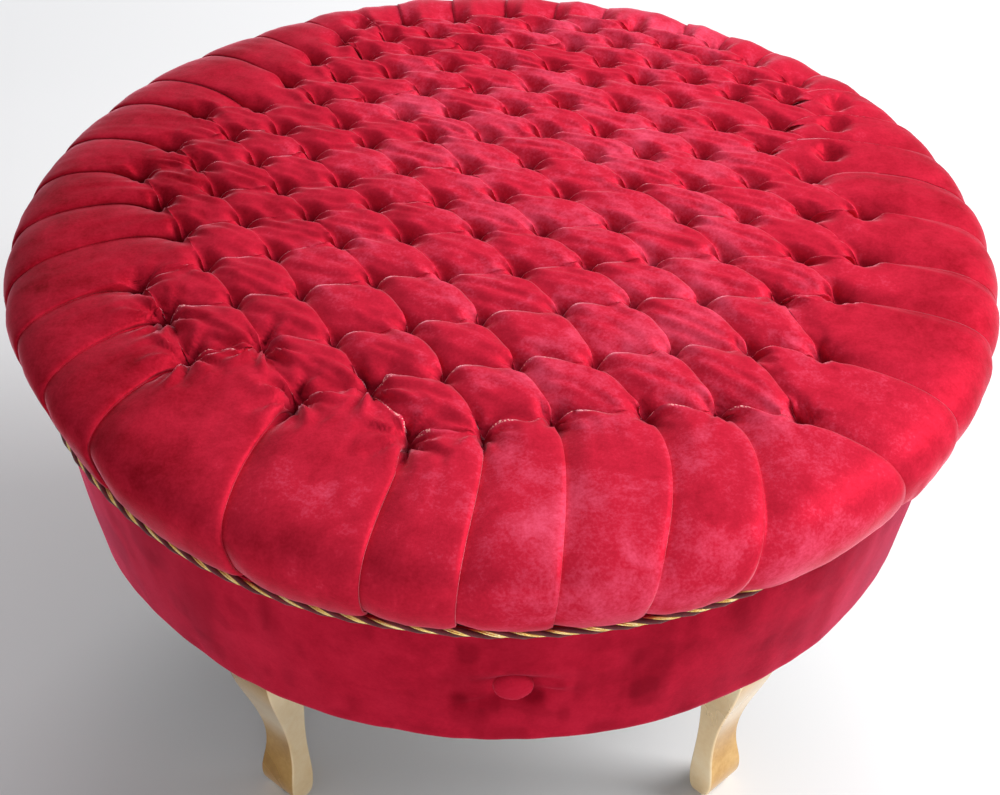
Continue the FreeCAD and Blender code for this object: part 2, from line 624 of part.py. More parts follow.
# ------------------------------------------------------------ check and write
bad = []
for o in doc.Objects:
    st = [str(x) for x in o.State]
    if any(x in ("Invalid", "Error") for x in st):
        bad.append((o.Name, st))
for o in DONE:
    if o.Shape.isNull() or not o.Shape.isValid():
        bad.append((o.Label, "shape"))
    if o.Shape.Volume < 1.0:
        bad.append((o.Label, "volume %g" % o.Shape.Volume))
assert not bad, bad
labels = [o.Label for o in DONE]
assert len(set(labels)) == len(labels)
os.makedirs("parts", exist_ok=True)
for o in DONE:
    o.Shape.exportStep("parts/%s.step" % o.Label)
    print("%-28s solids %3d  volume %10.1f  z %.1f to %.1f" % (
        o.Label, len(o.Shape.Solids), o.Shape.Volume, o.Shape.BoundBox.ZMin, o.Shape.BoundBox.ZMax))
print(len(DONE), "nodes")
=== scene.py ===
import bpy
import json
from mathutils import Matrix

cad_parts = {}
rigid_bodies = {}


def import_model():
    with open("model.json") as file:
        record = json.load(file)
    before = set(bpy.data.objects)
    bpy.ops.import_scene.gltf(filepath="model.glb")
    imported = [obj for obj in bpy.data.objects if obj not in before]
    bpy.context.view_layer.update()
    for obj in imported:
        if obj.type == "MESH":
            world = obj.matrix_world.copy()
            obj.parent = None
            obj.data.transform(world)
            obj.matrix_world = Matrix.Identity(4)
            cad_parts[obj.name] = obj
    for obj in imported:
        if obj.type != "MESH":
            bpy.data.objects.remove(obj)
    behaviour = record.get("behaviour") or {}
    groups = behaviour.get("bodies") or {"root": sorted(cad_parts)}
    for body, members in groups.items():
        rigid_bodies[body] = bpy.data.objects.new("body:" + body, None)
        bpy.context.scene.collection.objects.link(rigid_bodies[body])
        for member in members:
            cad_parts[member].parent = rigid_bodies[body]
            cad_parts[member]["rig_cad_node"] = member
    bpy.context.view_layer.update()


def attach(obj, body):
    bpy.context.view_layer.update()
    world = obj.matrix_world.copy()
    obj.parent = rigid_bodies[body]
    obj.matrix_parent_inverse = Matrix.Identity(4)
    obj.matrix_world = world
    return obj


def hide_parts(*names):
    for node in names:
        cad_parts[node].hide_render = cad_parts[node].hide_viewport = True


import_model()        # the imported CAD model, in metres

import json
import math

import bpy
import numpy as np

# Round tufted ottoman. Lengths in this file are millimetres unless a name
# says otherwise; meshes are scaled to metres when they are made.
RNG = np.random.default_rng(71)

# ----------------------------------------------------------------- helpers


def make_object(name, verts_mm, faces, smooth=True, attrs=None):
    """A mesh object from vertex rows in mm and a list or array of faces."""
    me = bpy.data.meshes.new(name)
    v = np.asarray(verts_mm, float) * 0.001
    me.from_pydata(v.tolist(), [], [list(map(int, f)) for f in faces])
    me.validate(verbose=False)
    if smooth:
        me.polygons.foreach_set("use_smooth", [True] * len(me.polygons))
    for key, val in (attrs or {}).items():
        a = me.attributes.new(key, "FLOAT", "POINT")
        if len(val) == len(me.vertices):
            a.data.foreach_set("value", np.asarray(val, np.float32))
    me.update()
    ob = bpy.data.objects.new(name, me)
    bpy.context.scene.collection.objects.link(ob)
    return ob


def weld(verts, faces, attrs, tol=0.02, tags=None):
    """Merges vertices that coincide and drops faces that collapse."""
    key = np.round(verts / tol).astype(np.int64)
    _, first, inv = np.unique(key, axis=0, return_index=True, return_inverse=True)
    inv = inv.ravel()
    v = verts[first]
    at = {k: a[first] for k, a in attrs.items()}
    out, keep = [], []
    for n, f in enumerate(faces):
        g = [int(inv[i]) for i in f]
        h = [g[i] for i in range(len(g)) if g[i] != g[i - 1]]
        if len(h) >= 3 and len(set(h)) == len(h):
            out.append(h)
            keep.append(0 if tags is None else int(tags[n]))
    return (v, out, at) if tags is None else (v, out, at, np.array(keep))


def hash3(ix, iy, iz, seed):
    n = (ix * 374761393 + iy * 668265263 + iz * 2147483647 + seed * 1274126177) & 0xFFFFFFFF
    n = ((n ^ (n >> 13)) * 1274126177) & 0xFFFFFFFF
    n = (n ^ (n >> 16)) & 0xFFFFFFFF
    return n.astype(np.float64) / 4294967295.0


def vnoise(p, scale, seed=0):
    """Smooth value noise in -1..1 for points p (mm), feature size scale (mm)."""
    q = np.asarray(p, float) / scale + 1000.0
    i = np.floor(q).astype(np.int64)
    f = q - i
    f = f * f * f * (f * (f * 6 - 15) + 10)
    out = 0.0
    for dx in (0, 1):
        for dy in (0, 1):
            for dz in (0, 1):
                w = (f[..., 0] if dx else 1 - f[..., 0]) * (f[..., 1] if dy else 1 - f[..., 1]) * \
                    (f[..., 2] if dz else 1 - f[..., 2])
                out = out + w * hash3(i[..., 0] + dx, i[..., 1] + dy, i[..., 2] + dz, seed)
    return out * 2 - 1


def catmull(pts, per=40):
    p = np.asarray(pts, float)
    p = np.vstack([2 * p[0] - p[1], p, 2 * p[-1] - p[-2]])
    out = []
    for k in range(1, len(p) - 2):
        t = np.linspace(0, 1, per, endpoint=False)[:, None]
        a, b, c, d = p[k - 1], p[k], p[k + 1], p[k + 2]
        out.append(0.5 * (2 * b + (c - a) * t + (2 * a - 5 * b + 4 * c - d) * t ** 2 + (3 * b - a - 3 * c + d) * t ** 3))
    out.append(p[-2][None])
    return np.vstack(out)


def smooth01(x):
    x = np.clip(x, 0, 1)
    return x * x * (3 - 2 * x)


# ------------------------------------------------- the seat's finished form
SEAT = [(0, 460), (80, 459.6), (150, 458.5), (260, 456), (332, 453), (365, 449), (385, 441.5),
        (395, 430), (398, 416), (395, 402), (388, 389), (379.5, 380), (371.5, 374.6), (366, 372.4)]
PROF = catmull(SEAT)
PROF[0] = (0, 460)
_seg = np.hypot(*np.diff(PROF, axis=0).T)
PL = np.concatenate([[0], np.cumsum(_seg)])
_tan = np.gradient(PROF, PL, axis=0)
_tan /= np.linalg.norm(_tan, axis=1)[:, None]
PN = np.c_[-_tan[:, 1], _tan[:, 0]]
K_RIM = int(np.argmax(PROF[:, 0]))


def arc_of_r(r):
    return np.interp(r, PROF[:K_RIM + 1, 0], PL[:K_RIM + 1])


def seat_point(l, th):
    r = np.interp(l, PL, PROF[:, 0])
    z = np.interp(l, PL, PROF[:, 1])
    nr = np.interp(l, PL, PN[:, 0])
    nz = np.interp(l, PL, PN[:, 1])
    ln = np.hypot(nr, nz)
    nr, nz = nr / ln, nz / ln
    c, s = np.cos(th), np.sin(th)
    return np.stack([r * c, r * s, z], -1), np.stack([nr * c, nr * s, nz], -1)


TUFT_ROWS = {
    -10: [(6, -119.7, 324.3), (7, -78.2, 328.1), (8, -33.1, 334.3), (9, 11.9, 340.5),
         (10, 55.6, 339.4), (11, 98.4, 339.8)],
    -9: [(5, -137.1, 294.4), (6, -94.2, 298), (7, -53, 304.7), (8, -5.2, 309.5),
         (9, 39.2, 315.7), (10, 83.4, 313.5), (11, 126.1, 315.8), (12, 169.2, 312.9)],
    -8: [(4, -159.3, 260.2), (5, -114.4, 268.7), (6, -67.4, 272.2), (7, -23.7, 280.2),
         (8, 21.1, 284.8), (9, 68.4, 282.6), (10, 110.6, 285.1), (11, 152.8, 285.8),
         (12, 198.6, 287.2)],
    -7: [(3, -179.9, 223.6), (4, -135.7, 230.2), (5, -90.2, 235.6), (6, -41.9, 244.9),
         (7, 5, 251.3), (8, 50.6, 244.4), (9, 95.3, 253.3), (10, 142.2, 252.2),
         (11, 187, 257.4), (12, 227.1, 258.3)],
    -6: [(1, -252.5, 177.4), (2, -205, 184.6), (3, -153.8, 194.3), (4, -109.8, 194.7),
         (5, -63.1, 206.8), (6, -16.2, 207.8), (7, 31.7, 209.2), (8, 81.1, 220.9),
         (9, 126.9, 222.9), (10, 170.9, 224.6), (11, 216.8, 226.3), (12, 261.3, 223.7)],
    -5: [(0, -272.8, 127.5), (1, -224.7, 138.5), (2, -184.5, 146.2), (3, -132.2, 153.8),
         (4, -80.3, 166.6), (5, -38.4, 169), (6, 13.1, 170.1), (7, 56.5, 181.4),
         (8, 107.3, 178.5), (9, 154.5, 185.6), (10, 206.3, 200), (11, 250.2, 195.4),
         (12, 293.6, 188.5)],
    -4: [(-1, -295.4, 87.6), (0, -249.6, 94.3), (1, -201.7, 99.6), (2, -157, 108.4),
         (3, -109.6, 125.1), (4, -57.4, 131.6), (5, -11, 129.5), (6, 38.3, 135.3),
         (7, 86.7, 137), (8, 141.1, 147.1), (9, 190.1, 149.6), (10, 238.4, 151.5),
         (11, 287.3, 152.6)],
    -3: [(-1, -276.5, 45.5), (0, -233.1, 55.6), (1, -180.1, 59.2), (2, -131, 66),
         (3, -80.9, 81), (4, -28.6, 81.6), (5, 24, 91.5), (6, 76.2, 100.4), (7, 121, 105.2),
         (8, 169.2, 107.6), (9, 223.4, 116.3), (10, 277.4, 108.3)],
    -2: [(-1, -256.4, 3.4), (0, -208.9, 15.2), (1, -155.9, 21.4), (2, -104.2, 32.7),
         (3, -50.6, 34.3), (4, -1.5, 42.1), (5, 51.1, 46.2), (6, 106.2, 59.3),
         (7, 156.5, 58.4), (8, 208.3, 62.5), (9, 253.1, 75.3)],
    -1: [(-2, -283.6, -62.8), (-1, -235.7, -44.1), (0, -181.8, -31.8), (1, -131.5, -17.5),
         (2, -78.9, -12), (3, -21.2, -6.6), (4, 30.3, -4.2), (5, 88.6, 1.5), (6, 146, 11.4),
         (7, 194.9, 12.5), (8, 247.4, 22), (9, 294.9, 21.6)],
    0: [(-2, -260.3, -103.4), (-1, -209.4, -91.2), (0, -159.5, -83), (1, -102.9, -70.7),
         (2, -48.2, -64), (3, 9.3, -58.4), (4, 65.6, -50.7), (5, 116.7, -44.1),
         (6, 173.6, -39.4), (7, 234.5, -38.2), (8, 284, -39.4)],
    1: [(-2, -239.7, -156.6), (-1, -186, -145.8), (0, -132.4, -140.3), (1, -75.5, -127.5),
         (2, -21.1, -118.5), (3, 41.7, -106.7), (4, 97.9, -99.4), (5, 151.9, -95.1),
         (6, 211.2, -89.2), (7, 258.4, -88.3)],
    2: [(-1, -157.4, -204.7), (0, -103.6, -195.9), (1, -50, -184.5), (2, 5.7, -171.4),
         (3, 64.4, -171.7), (4, 124.5, -156.3), (5, 182.4, -155.8), (6, 236.8, -159.4)],
    3: [(0, -75.3, -250.9), (1, -20.7, -245.4), (2, 30.3, -230.5), (3, 97.5, -226.4),
         (4, 152.5, -222.8), (5, 212.2, -230.5)],
}

# --------------------------------------------------------- tufted seat cover
# Tufts stand on a leaning diamond lattice (i runs from the rear left to the
# front right, j to the right). Between tufts the velvet folds: along every
# edge one pillow ends in a lip that overhangs its neighbour, which dives
# beneath it. Outside the lattice, pleats run from the outer tufts over the
# rim down to the groove.
TUFT = {(i, j): np.array([x, y]) for i, row in TUFT_ROWS.items() for j, x, y in row}
NC = 18          # steps along a lattice edge
NT = 52          # steps down a pleat channel

# angles (degrees) at which some pleats reach the groove; the others run out radially
PLEAT_END = {(1, -2): -141.6, (2, -1): -121.4, (3, 0): -106.6, (3, 1): -96.7, (3, 2): -86.7, (3, 3): -77.0,
             (3, 4): -66.4, (3, 5): -43.5, (2, 6): -32.5, (1, 7): -18.2}

_edge = {}
# folds that are known: gathered rather than folded (low), or a clear overhanging lip (high)
FOLD = {("u", 1, -1): 0.10, ("v", 2, -1): 0.10, ("u", 2, 0): 1.0, ("v", 1, -2): 0.8, ("u", 0, -2): 0.2,
        ("v", 3, 0): 0.75, ("v", 3, 1): 1.0, ("v", 3, 2): 0.95, ("v", 3, 3): 0.9}


def hash_key(key):
    return (0 if key[0] == "u" else 500000) + (key[1] + 50) * 1000 + key[2] + 50


def edge_par(key):
    """Fixed random facts of one lattice edge: how strongly it folds, and where."""
    if key not in _edge:
        g = np.random.default_rng([hash_key(key), 5])
        kind, i, j = key
        p0 = TUFT[(i, j)]
        p1 = TUFT[(i, j + 1)] if kind == "v" else TUFT[(i + 1, j)]
        m = 0.5 * (p0 + p1)
        front = smooth01((30.0 - m[1]) / 190.0)      # the front rows fold most
        left = smooth01((-60.0 - m[0]) / 140.0)
        if kind == "v":
            f = 0.05 + 0.80 * front + g.uniform(-0.20, 0.20) + 0.35 * (g.uniform() > 0.82)
        else:
            f = 0.26 + 0.58 * front - 0.1 * left + g.uniform(-0.25, 0.25)
            if (i, j - 1) not in cellset:
                f *= 0.45          # along the left border the cloth gathers instead of folding
        if (kind == "u" and (i, j) not in cellset) or (kind == "v" and (i - 1, j) not in cellset):
            f *= 0.4               # nor does it fold much along the right and rear borders
        f = FOLD.get(key, f)
        hollow = 0.0 if f < 0.13 else float(np.clip(0.18 + 0.9 * f, 0.0, 1.0))     # the pocket beside the tuft
        sharp = float(np.clip(1.5 * f - 0.22, 0.0, 1.0)) if kind == "v" else float(np.clip(0.12 + 1.1 * f, 0.0, 1.0))
        f = float(np.clip(1.2 * (f - 0.16), 0.0, 1.2))      # a weak edge is a plain soft valley
        _edge[key] = dict(f=f, s=sharp, sh=g.uniform(-0.07, 0.09),
                          v=1.7 + 2.9 * front + g.uniform(-0.6, 0.8), lat=g.uniform(0.7, 1.2), h=hollow)
    return _edge[key]


def tuft_depth(k):
    g = np.random.default_rng([(k[0] + 60) * 997 + k[1] + 60, 3])
    r = np.hypot(*TUFT[k])
    base = 18.5 - 5.5 * smooth01((r - 290) / 70)
    return base + g.uniform(-1.5, 1.5)


def knots(s, pts):
    """Smooth interpolation through (place, value) pairs."""
    xs = np.array([p[0] for p in pts])
    ys = np.array([p[1] for p in pts], float)
    s = np.clip(s, 0, 1)
    k = np.clip(np.searchsorted(xs, s, side="right") - 1, 0, len(xs) - 2)
    t = (s - xs[k]) / (xs[k + 1] - xs[k])
    d = np.gradient(ys, xs)
    d[1:-1] = np.where((ys[1:-1] - ys[:-2]) * (ys[2:] - ys[1:-1]) <= 0, 0, d[1:-1])
    h = xs[k + 1] - xs[k]
    t2, t3 = t * t, t * t * t
    return (2 * t3 - 3 * t2 + 1) * ys[k] + (t3 - 2 * t2 + t) * h * d[k] + (3 * t2 - 2 * t3) * ys[k + 1] + \
        (t3 - t2) * h * d[k + 1]


def arc(s, p=0.8, skew=0.0):
    s = np.clip(s, 0, 1)
    return np.power(np.clip(4 * s * (1 - s), 0, 1), p)


def v_lip(s, T0, T1, e):
    f, v, o = e["f"], e["v"], e["sh"]
    lipd = v - (v - 1.6) * min(f, 1.0)
    return knots(s, [(0, T0), (0.07, 9.5), (0.20, lipd + 1.0), (0.44 + o, lipd), (0.70 + o, v), (0.93, v + 2.6), (1, T1)])


def v_dive(s, T0, T1, e):
    f, v, o = e["f"], e["v"], e["sh"]
    return knots(s, [(0, T0), (0.10, 9.5 + 4.5 * e["h"]), (0.23, v + 1.3 + (2.4 + 3.2 * f) * e["h"]), (0.44 + o, v + 4.2 * f), (0.70 + o, v),
                     (0.93, v + 2.6), (1, T1)])


def v_lat(s, e):
    f, o = min(e["f"], 1.1) * e["lat"], e["sh"]
    return knots(s, [(0, 0), (0.10, 2.2 * f), (0.28, 5.2 * f), (0.48 + o, 3.4 * f), (0.70 + o, 0), (1, 0)])


def u_lip(s, T0, T1, e):
    f, v = e["f"], e["v"]
    lipd = v - (v - 1.8) * min(f, 1.0)
    return knots(s, [(0, T0), (0.09, 8.5), (0.30, lipd + 0.5), (0.62, lipd), (0.87, 6.2), (1, T1)])


def u_dive(s, T0, T1, e):
    f, v = e["f"], e["v"]
    return knots(s, [(0, T0), (0.10, 10.0), (0.30, v + 2.2 * f), (0.58, v + 3.4 * f),
                     (0.80, v + 0.8 + (2.2 + 3.2 * f) * e["h"]), (0.92, 6.6 + 6.6 * e["h"]), (1, T1)])


def u_lat(s, e):
    f = min(e["f"], 1.1) * e["lat"]
    return knots(s, [(0, 0), (0.15, 1.2 * f), (0.42, 3.2 * f), (0.68, 4.3 * f), (0.88, 2.8 * f), (1, 0)])


def pnorm(terms, p=4.0):
    acc = 0.0
    for t in terms:
        acc = acc + np.power(np.clip(t, 0, None), p)
    return np.power(acc, 1.0 / p)


def fall(x, s=1.0):
    """How a fold's depth fades with distance: a sharp crease for s = 1, a soft valley for s = 0."""
    x = np.clip(x, 0, 1)
    return s * (1 - x) ** 2 + (1 - s) * (0.5 + 0.5 * np.cos(math.pi * np.minimum(1, x * 1.1)))


cells = [k for k in TUFT if (k[0] + 1, k[1]) in TUFT and (k[0], k[1] + 1) in TUFT and (k[0] + 1, k[1] + 1) in TUFT]
cellset = set(cells)
V_ALL, F_ALL, LIP_ALL, TAG_ALL = [], [], [], []
_count = 0


def add_grid(P, lip):
    """Adds a grid of points; returns its index array."""
    global _count
    n = P.shape[0] * P.shape[1]
    V_ALL.append(P.reshape(-1, 3))
    LIP_ALL.append(np.broadcast_to(lip, P.shape[:2]).reshape(-1))
    idx = np.arange(_count, _count + n).reshape(P.shape[:2])
    _count += n
    return idx


def add_faces(idx, flip=False, tag=0):
    a, b, c, d = idx[:-1, :-1].ravel(), idx[1:, :-1].ravel(), idx[1:, 1:].ravel(), idx[:-1, 1:].ravel()
    q = np.stack([a, b, c, d] if not flip else [a, d, c, b], -1)
    F_ALL.append(q)
    TAG_ALL.append(np.full(len(q), tag))


def pit(XY, k, rho, p):
    d = np.hypot(XY[..., 0] - TUFT[k][0], XY[..., 1] - TUFT[k][1])
    return tuft_depth(k) * np.clip(1 - d / rho, 0, 1) ** p


cell_rows = {}
SS = np.linspace(0, 1, NC + 1)
for (i, j) in cells:
    T00, T10, T01, T11 = TUFT[(i, j)], TUFT[(i + 1, j)], TUFT[(i, j + 1)], TUFT[(i + 1, j + 1)]
    u = np.linspace(0, 1, NC + 1)[:, None]
    v = np.linspace(0, 1, NC + 1)[None, :]
    XY = ((1 - u) * (1 - v))[..., None] * T00 + (u * (1 - v))[..., None] * T10 + \
         ((1 - u) * v)[..., None] * T01 + (u * v)[..., None] * T11
    Lu = 0.5 * (np.linalg.norm(T10 - T00) + np.linalg.norm(T11 - T01))
    Lv = 0.5 * (np.linalg.norm(T01 - T00) + np.linalg.norm(T11 - T10))
    eu = (T10 + T11 - T00 - T01)
    eu /= np.linalg.norm(eu)
    ev = (T01 + T11 - T00 - T10)
    ev /= np.linalg.norm(ev)
    e_r, e_f = edge_par(("v", i, j)), edge_par(("v", i + 1, j))
    e_l, e_g = edge_par(("u", i, j)), edge_par(("u", i, j + 1))
    d00, d10, d01, d11 = (tuft_depth(k) for k in ((i, j), (i + 1, j), (i, j + 1), (i + 1, j + 1)))
    U = np.broadcast_to(u, XY.shape[:2])
    W = np.broadcast_to(v, XY.shape[:2])
    soft_r = knots(W, [(0, 11.0), (0.4, 15.0), (0.75, 26.0), (1, 22.0)])
    soft_f = knots(W, [(0, 0.55 * Lu), (0.3, 0.6 * Lu), (0.75, 0.5 * Lu), (1, 0.4 * Lu)])
    soft_l = knots(U, [(0, 0.36 * Lv), (0.5, 0.45 * Lv), (0.85, 0.55 * Lv), (1, 0.5 * Lv)])
    soft_g = knots(U, [(0, 12.0), (0.5, 14.0), (0.85, 17.0), (1, 18.0)])
    lip_r = v_lip(W, d00, d01, e_r) * fall(U * Lu / soft_r, e_r["s"])
    dive_f = v_dive(W, d10, d11, e_f) * fall((1 - U) * Lu / soft_f, e_f["s"])
    dive_l = u_dive(U, d00, d10, e_l) * fall(W * Lv / soft_l, e_l["s"])
    lip_g = u_lip(U, d01, d11, e_g) * fall((1 - W) * Lv / soft_g, e_g["s"])
    D = pnorm([lip_r, dive_f, dive_l, lip_g, pit(XY, (i, j), 10.0, 1.3), pit(XY, (i + 1, j), 17.0, 1.2),
               pit(XY, (i, j + 1), 14.0, 1.4), pit(XY, (i + 1, j + 1), 18.0, 1.4)], 2.6)
    g = np.random.default_rng([(i + 60) * 1009 + j + 60, 9])
    crown = g.uniform(-1.2, 1.4)
    D = D - crown * (16 * U * (1 - U) * W * (1 - W)) ** 0.8
    # creases that fan out between the rear left tuft and the front right one
    a = 0.5 * (U + W)
    c = (U - W) / (3.0 * a * (1 - a) + 0.22)
    amp = (0.12 + 1.35 * g.uniform(0.0, 1.0) ** 2)
    win = np.clip(16 * U * (1 - U) * W * (1 - W), 0, 1) ** 0.5
    ph = g.uniform(0, 6.28)
    k1 = g.uniform(1.6, 2.6)
    fan = 0.6 * np.sin(6.28 * k1 * c + ph + 1.2 * a) + 0.4 * np.sin(6.28 * 1.9 * k1 * c + 2.3 * ph - a)
    ends = np.exp(-((1 - a) / g.uniform(0.18, 0.34)) ** 2) + 0.55 * np.exp(-(a / 0.22) ** 2) + 0.35 * g.uniform(0, 1)
    D = D + amp * fan * win * ends
    D = D + 0.5 * g.uniform(-1, 1) * np.sin(3.14 * (2 * W + U)) * win
    lat_r = v_lat(W, e_r) * fall(U / 0.55)
    lat_g = u_lat(U, e_g) * fall((1 - W) / 0.55)
    XY2 = XY - eu * lat_r[..., None] + ev * lat_g[..., None]
    r = np.hypot(XY2[..., 0], XY2[..., 1])
    P, N = seat_point(arc_of_r(r), np.arctan2(XY2[..., 1], XY2[..., 0]))
    # the four sides take exactly the depth of their fold line, so that soft parts join up
    w0 = np.clip(1 - U * NC, 0, 1)
    D = np.where(w0 > 0, v_lip(W, d00, d01, e_r), D)
    D = np.where(U > 1 - 0.5 / NC, v_dive(W, d10, d11, e_f), D)
    D = np.where((W < 0.5 / NC) & (U > 0.5 / NC) & (U < 1 - 0.5 / NC), u_dive(U, d00, d10, e_l), D)
    D = np.where((W > 1 - 0.5 / NC) & (U > 0.5 / NC) & (U < 1 - 0.5 / NC), u_lip(U, d01, d11, e_g), D)
    P = P - N * D[..., None]
    for (a0, b0, k) in ((0, 0, (i, j)), (-1, 0, (i + 1, j)), (0, -1, (i, j + 1)), (-1, -1, (i + 1, j + 1))):
        q, nn = seat_point(arc_of_r(np.hypot(*TUFT[k])), math.atan2(TUFT[k][1], TUFT[k][0]))
        P[a0, b0] = q - nn * tuft_depth(k)
    lipmask = np.maximum(fall(U * Lu / 4.5) * knots(W, [(0, 0), (0.1, 0.7), (0.3, 1), (0.6, 0.6), (0.8, 0), (1, 0)]) * e_r["f"],
                         0.6 * fall((1 - W) * Lv / 3.5) * arc(U, 0.5) * e_g["f"])
    idx = add_grid(P, lipmask)
    add_faces(idx, tag=1)
    cell_rows[(i, j)] = (idx, P, N)

# chain of outer edges, counterclockwise: (start, end, kind seen from outside)
outer = {}
for (i, j) in cells:
    if (i, j - 1) not in cellset:
        outer[(i, j)] = outer.get((i, j), []) + [((i + 1, j), "lip", ("L", i, j))]
    if (i + 1, j) not in cellset:
        outer[(i + 1, j)] = outer.get((i + 1, j), []) + [((i + 1, j + 1), "lip", ("F", i, j))]
    if (i, j + 1) not in cellset:
        outer[(i + 1, j + 1)] = outer.get((i + 1, j + 1), []) + [((i, j + 1), "dive", ("R", i, j))]
    if (i - 1, j) not in cellset:
        outer[(i, j + 1)] = outer.get((i, j + 1), []) + [((i, j), "dive", ("B", i, j))]
start = min(outer, key=lambda k: k[0] * 100 + k[1])
chain, here, prev = [], start, None
while True:
    opts = outer[here]
    nxt = opts[0]
    if len(opts) > 1 and prev is not None:      # a pinch point: keep turning right
        din = TUFT[here] - TUFT[prev]

        def turn(o):
            dout = TUFT[o[0]] - TUFT[here]
            return math.atan2(din[0] * dout[1] - din[1] * dout[0], din @ dout)
        nxt = min(opts, key=turn)
    chain.append((here, nxt[0], nxt[1], nxt[2]))
    prev, here = here, nxt[0]
    if here == start or len(chain) > 400:
        break

M = len(chain)
convex = []
for k in range(M):
    a, b = chain[k - 1], chain[k]
    d1 = TUFT[a[1]] - TUFT[a[0]]
    d2 = TUFT[b[1]] - TUFT[b[0]]
    cr = (d1[0] * d2[1] - d1[1] * d2[0]) / (np.linalg.norm(d1) * np.linalg.norm(d2))
    convex.append(cr > -0.45)
pleats = [k for k in range(M) if convex[k]]
angs = []
for k in pleats:
    key = chain[k][0]
    own = math.degrees(math.atan2(TUFT[key][1], TUFT[key][0]))
    e = PLEAT_END.get(key, own)
    angs.append([own, e])
angs = np.array(angs)
own = np.radians(angs[:, 0])
end = own + np.radians((angs[:, 1] - angs[:, 0] + 180) % 360 - 180)
own_u = np.unwrap(own)
end_u = own_u + (end - own)
fixed = np.array([chain[k][0] in PLEAT_END for k in pleats])
for _ in range(60):          # even out the free pleats, keep their order
    prv, nx = np.roll(end_u, 1), np.roll(end_u, -1)
    prv[0] -= 2 * math.pi
    nx[-1] += 2 * math.pi
    end_u = np.where(fixed, end_u, 0.55 * end_u + 0.45 * 0.5 * (prv + nx))
print("seat: cells %d, outer edges %d, pleats %d" % (len(cells), M, len(pleats)))
print("pleat end spacing, degrees:", np.degrees(np.diff(end_u)).round(1).tolist())

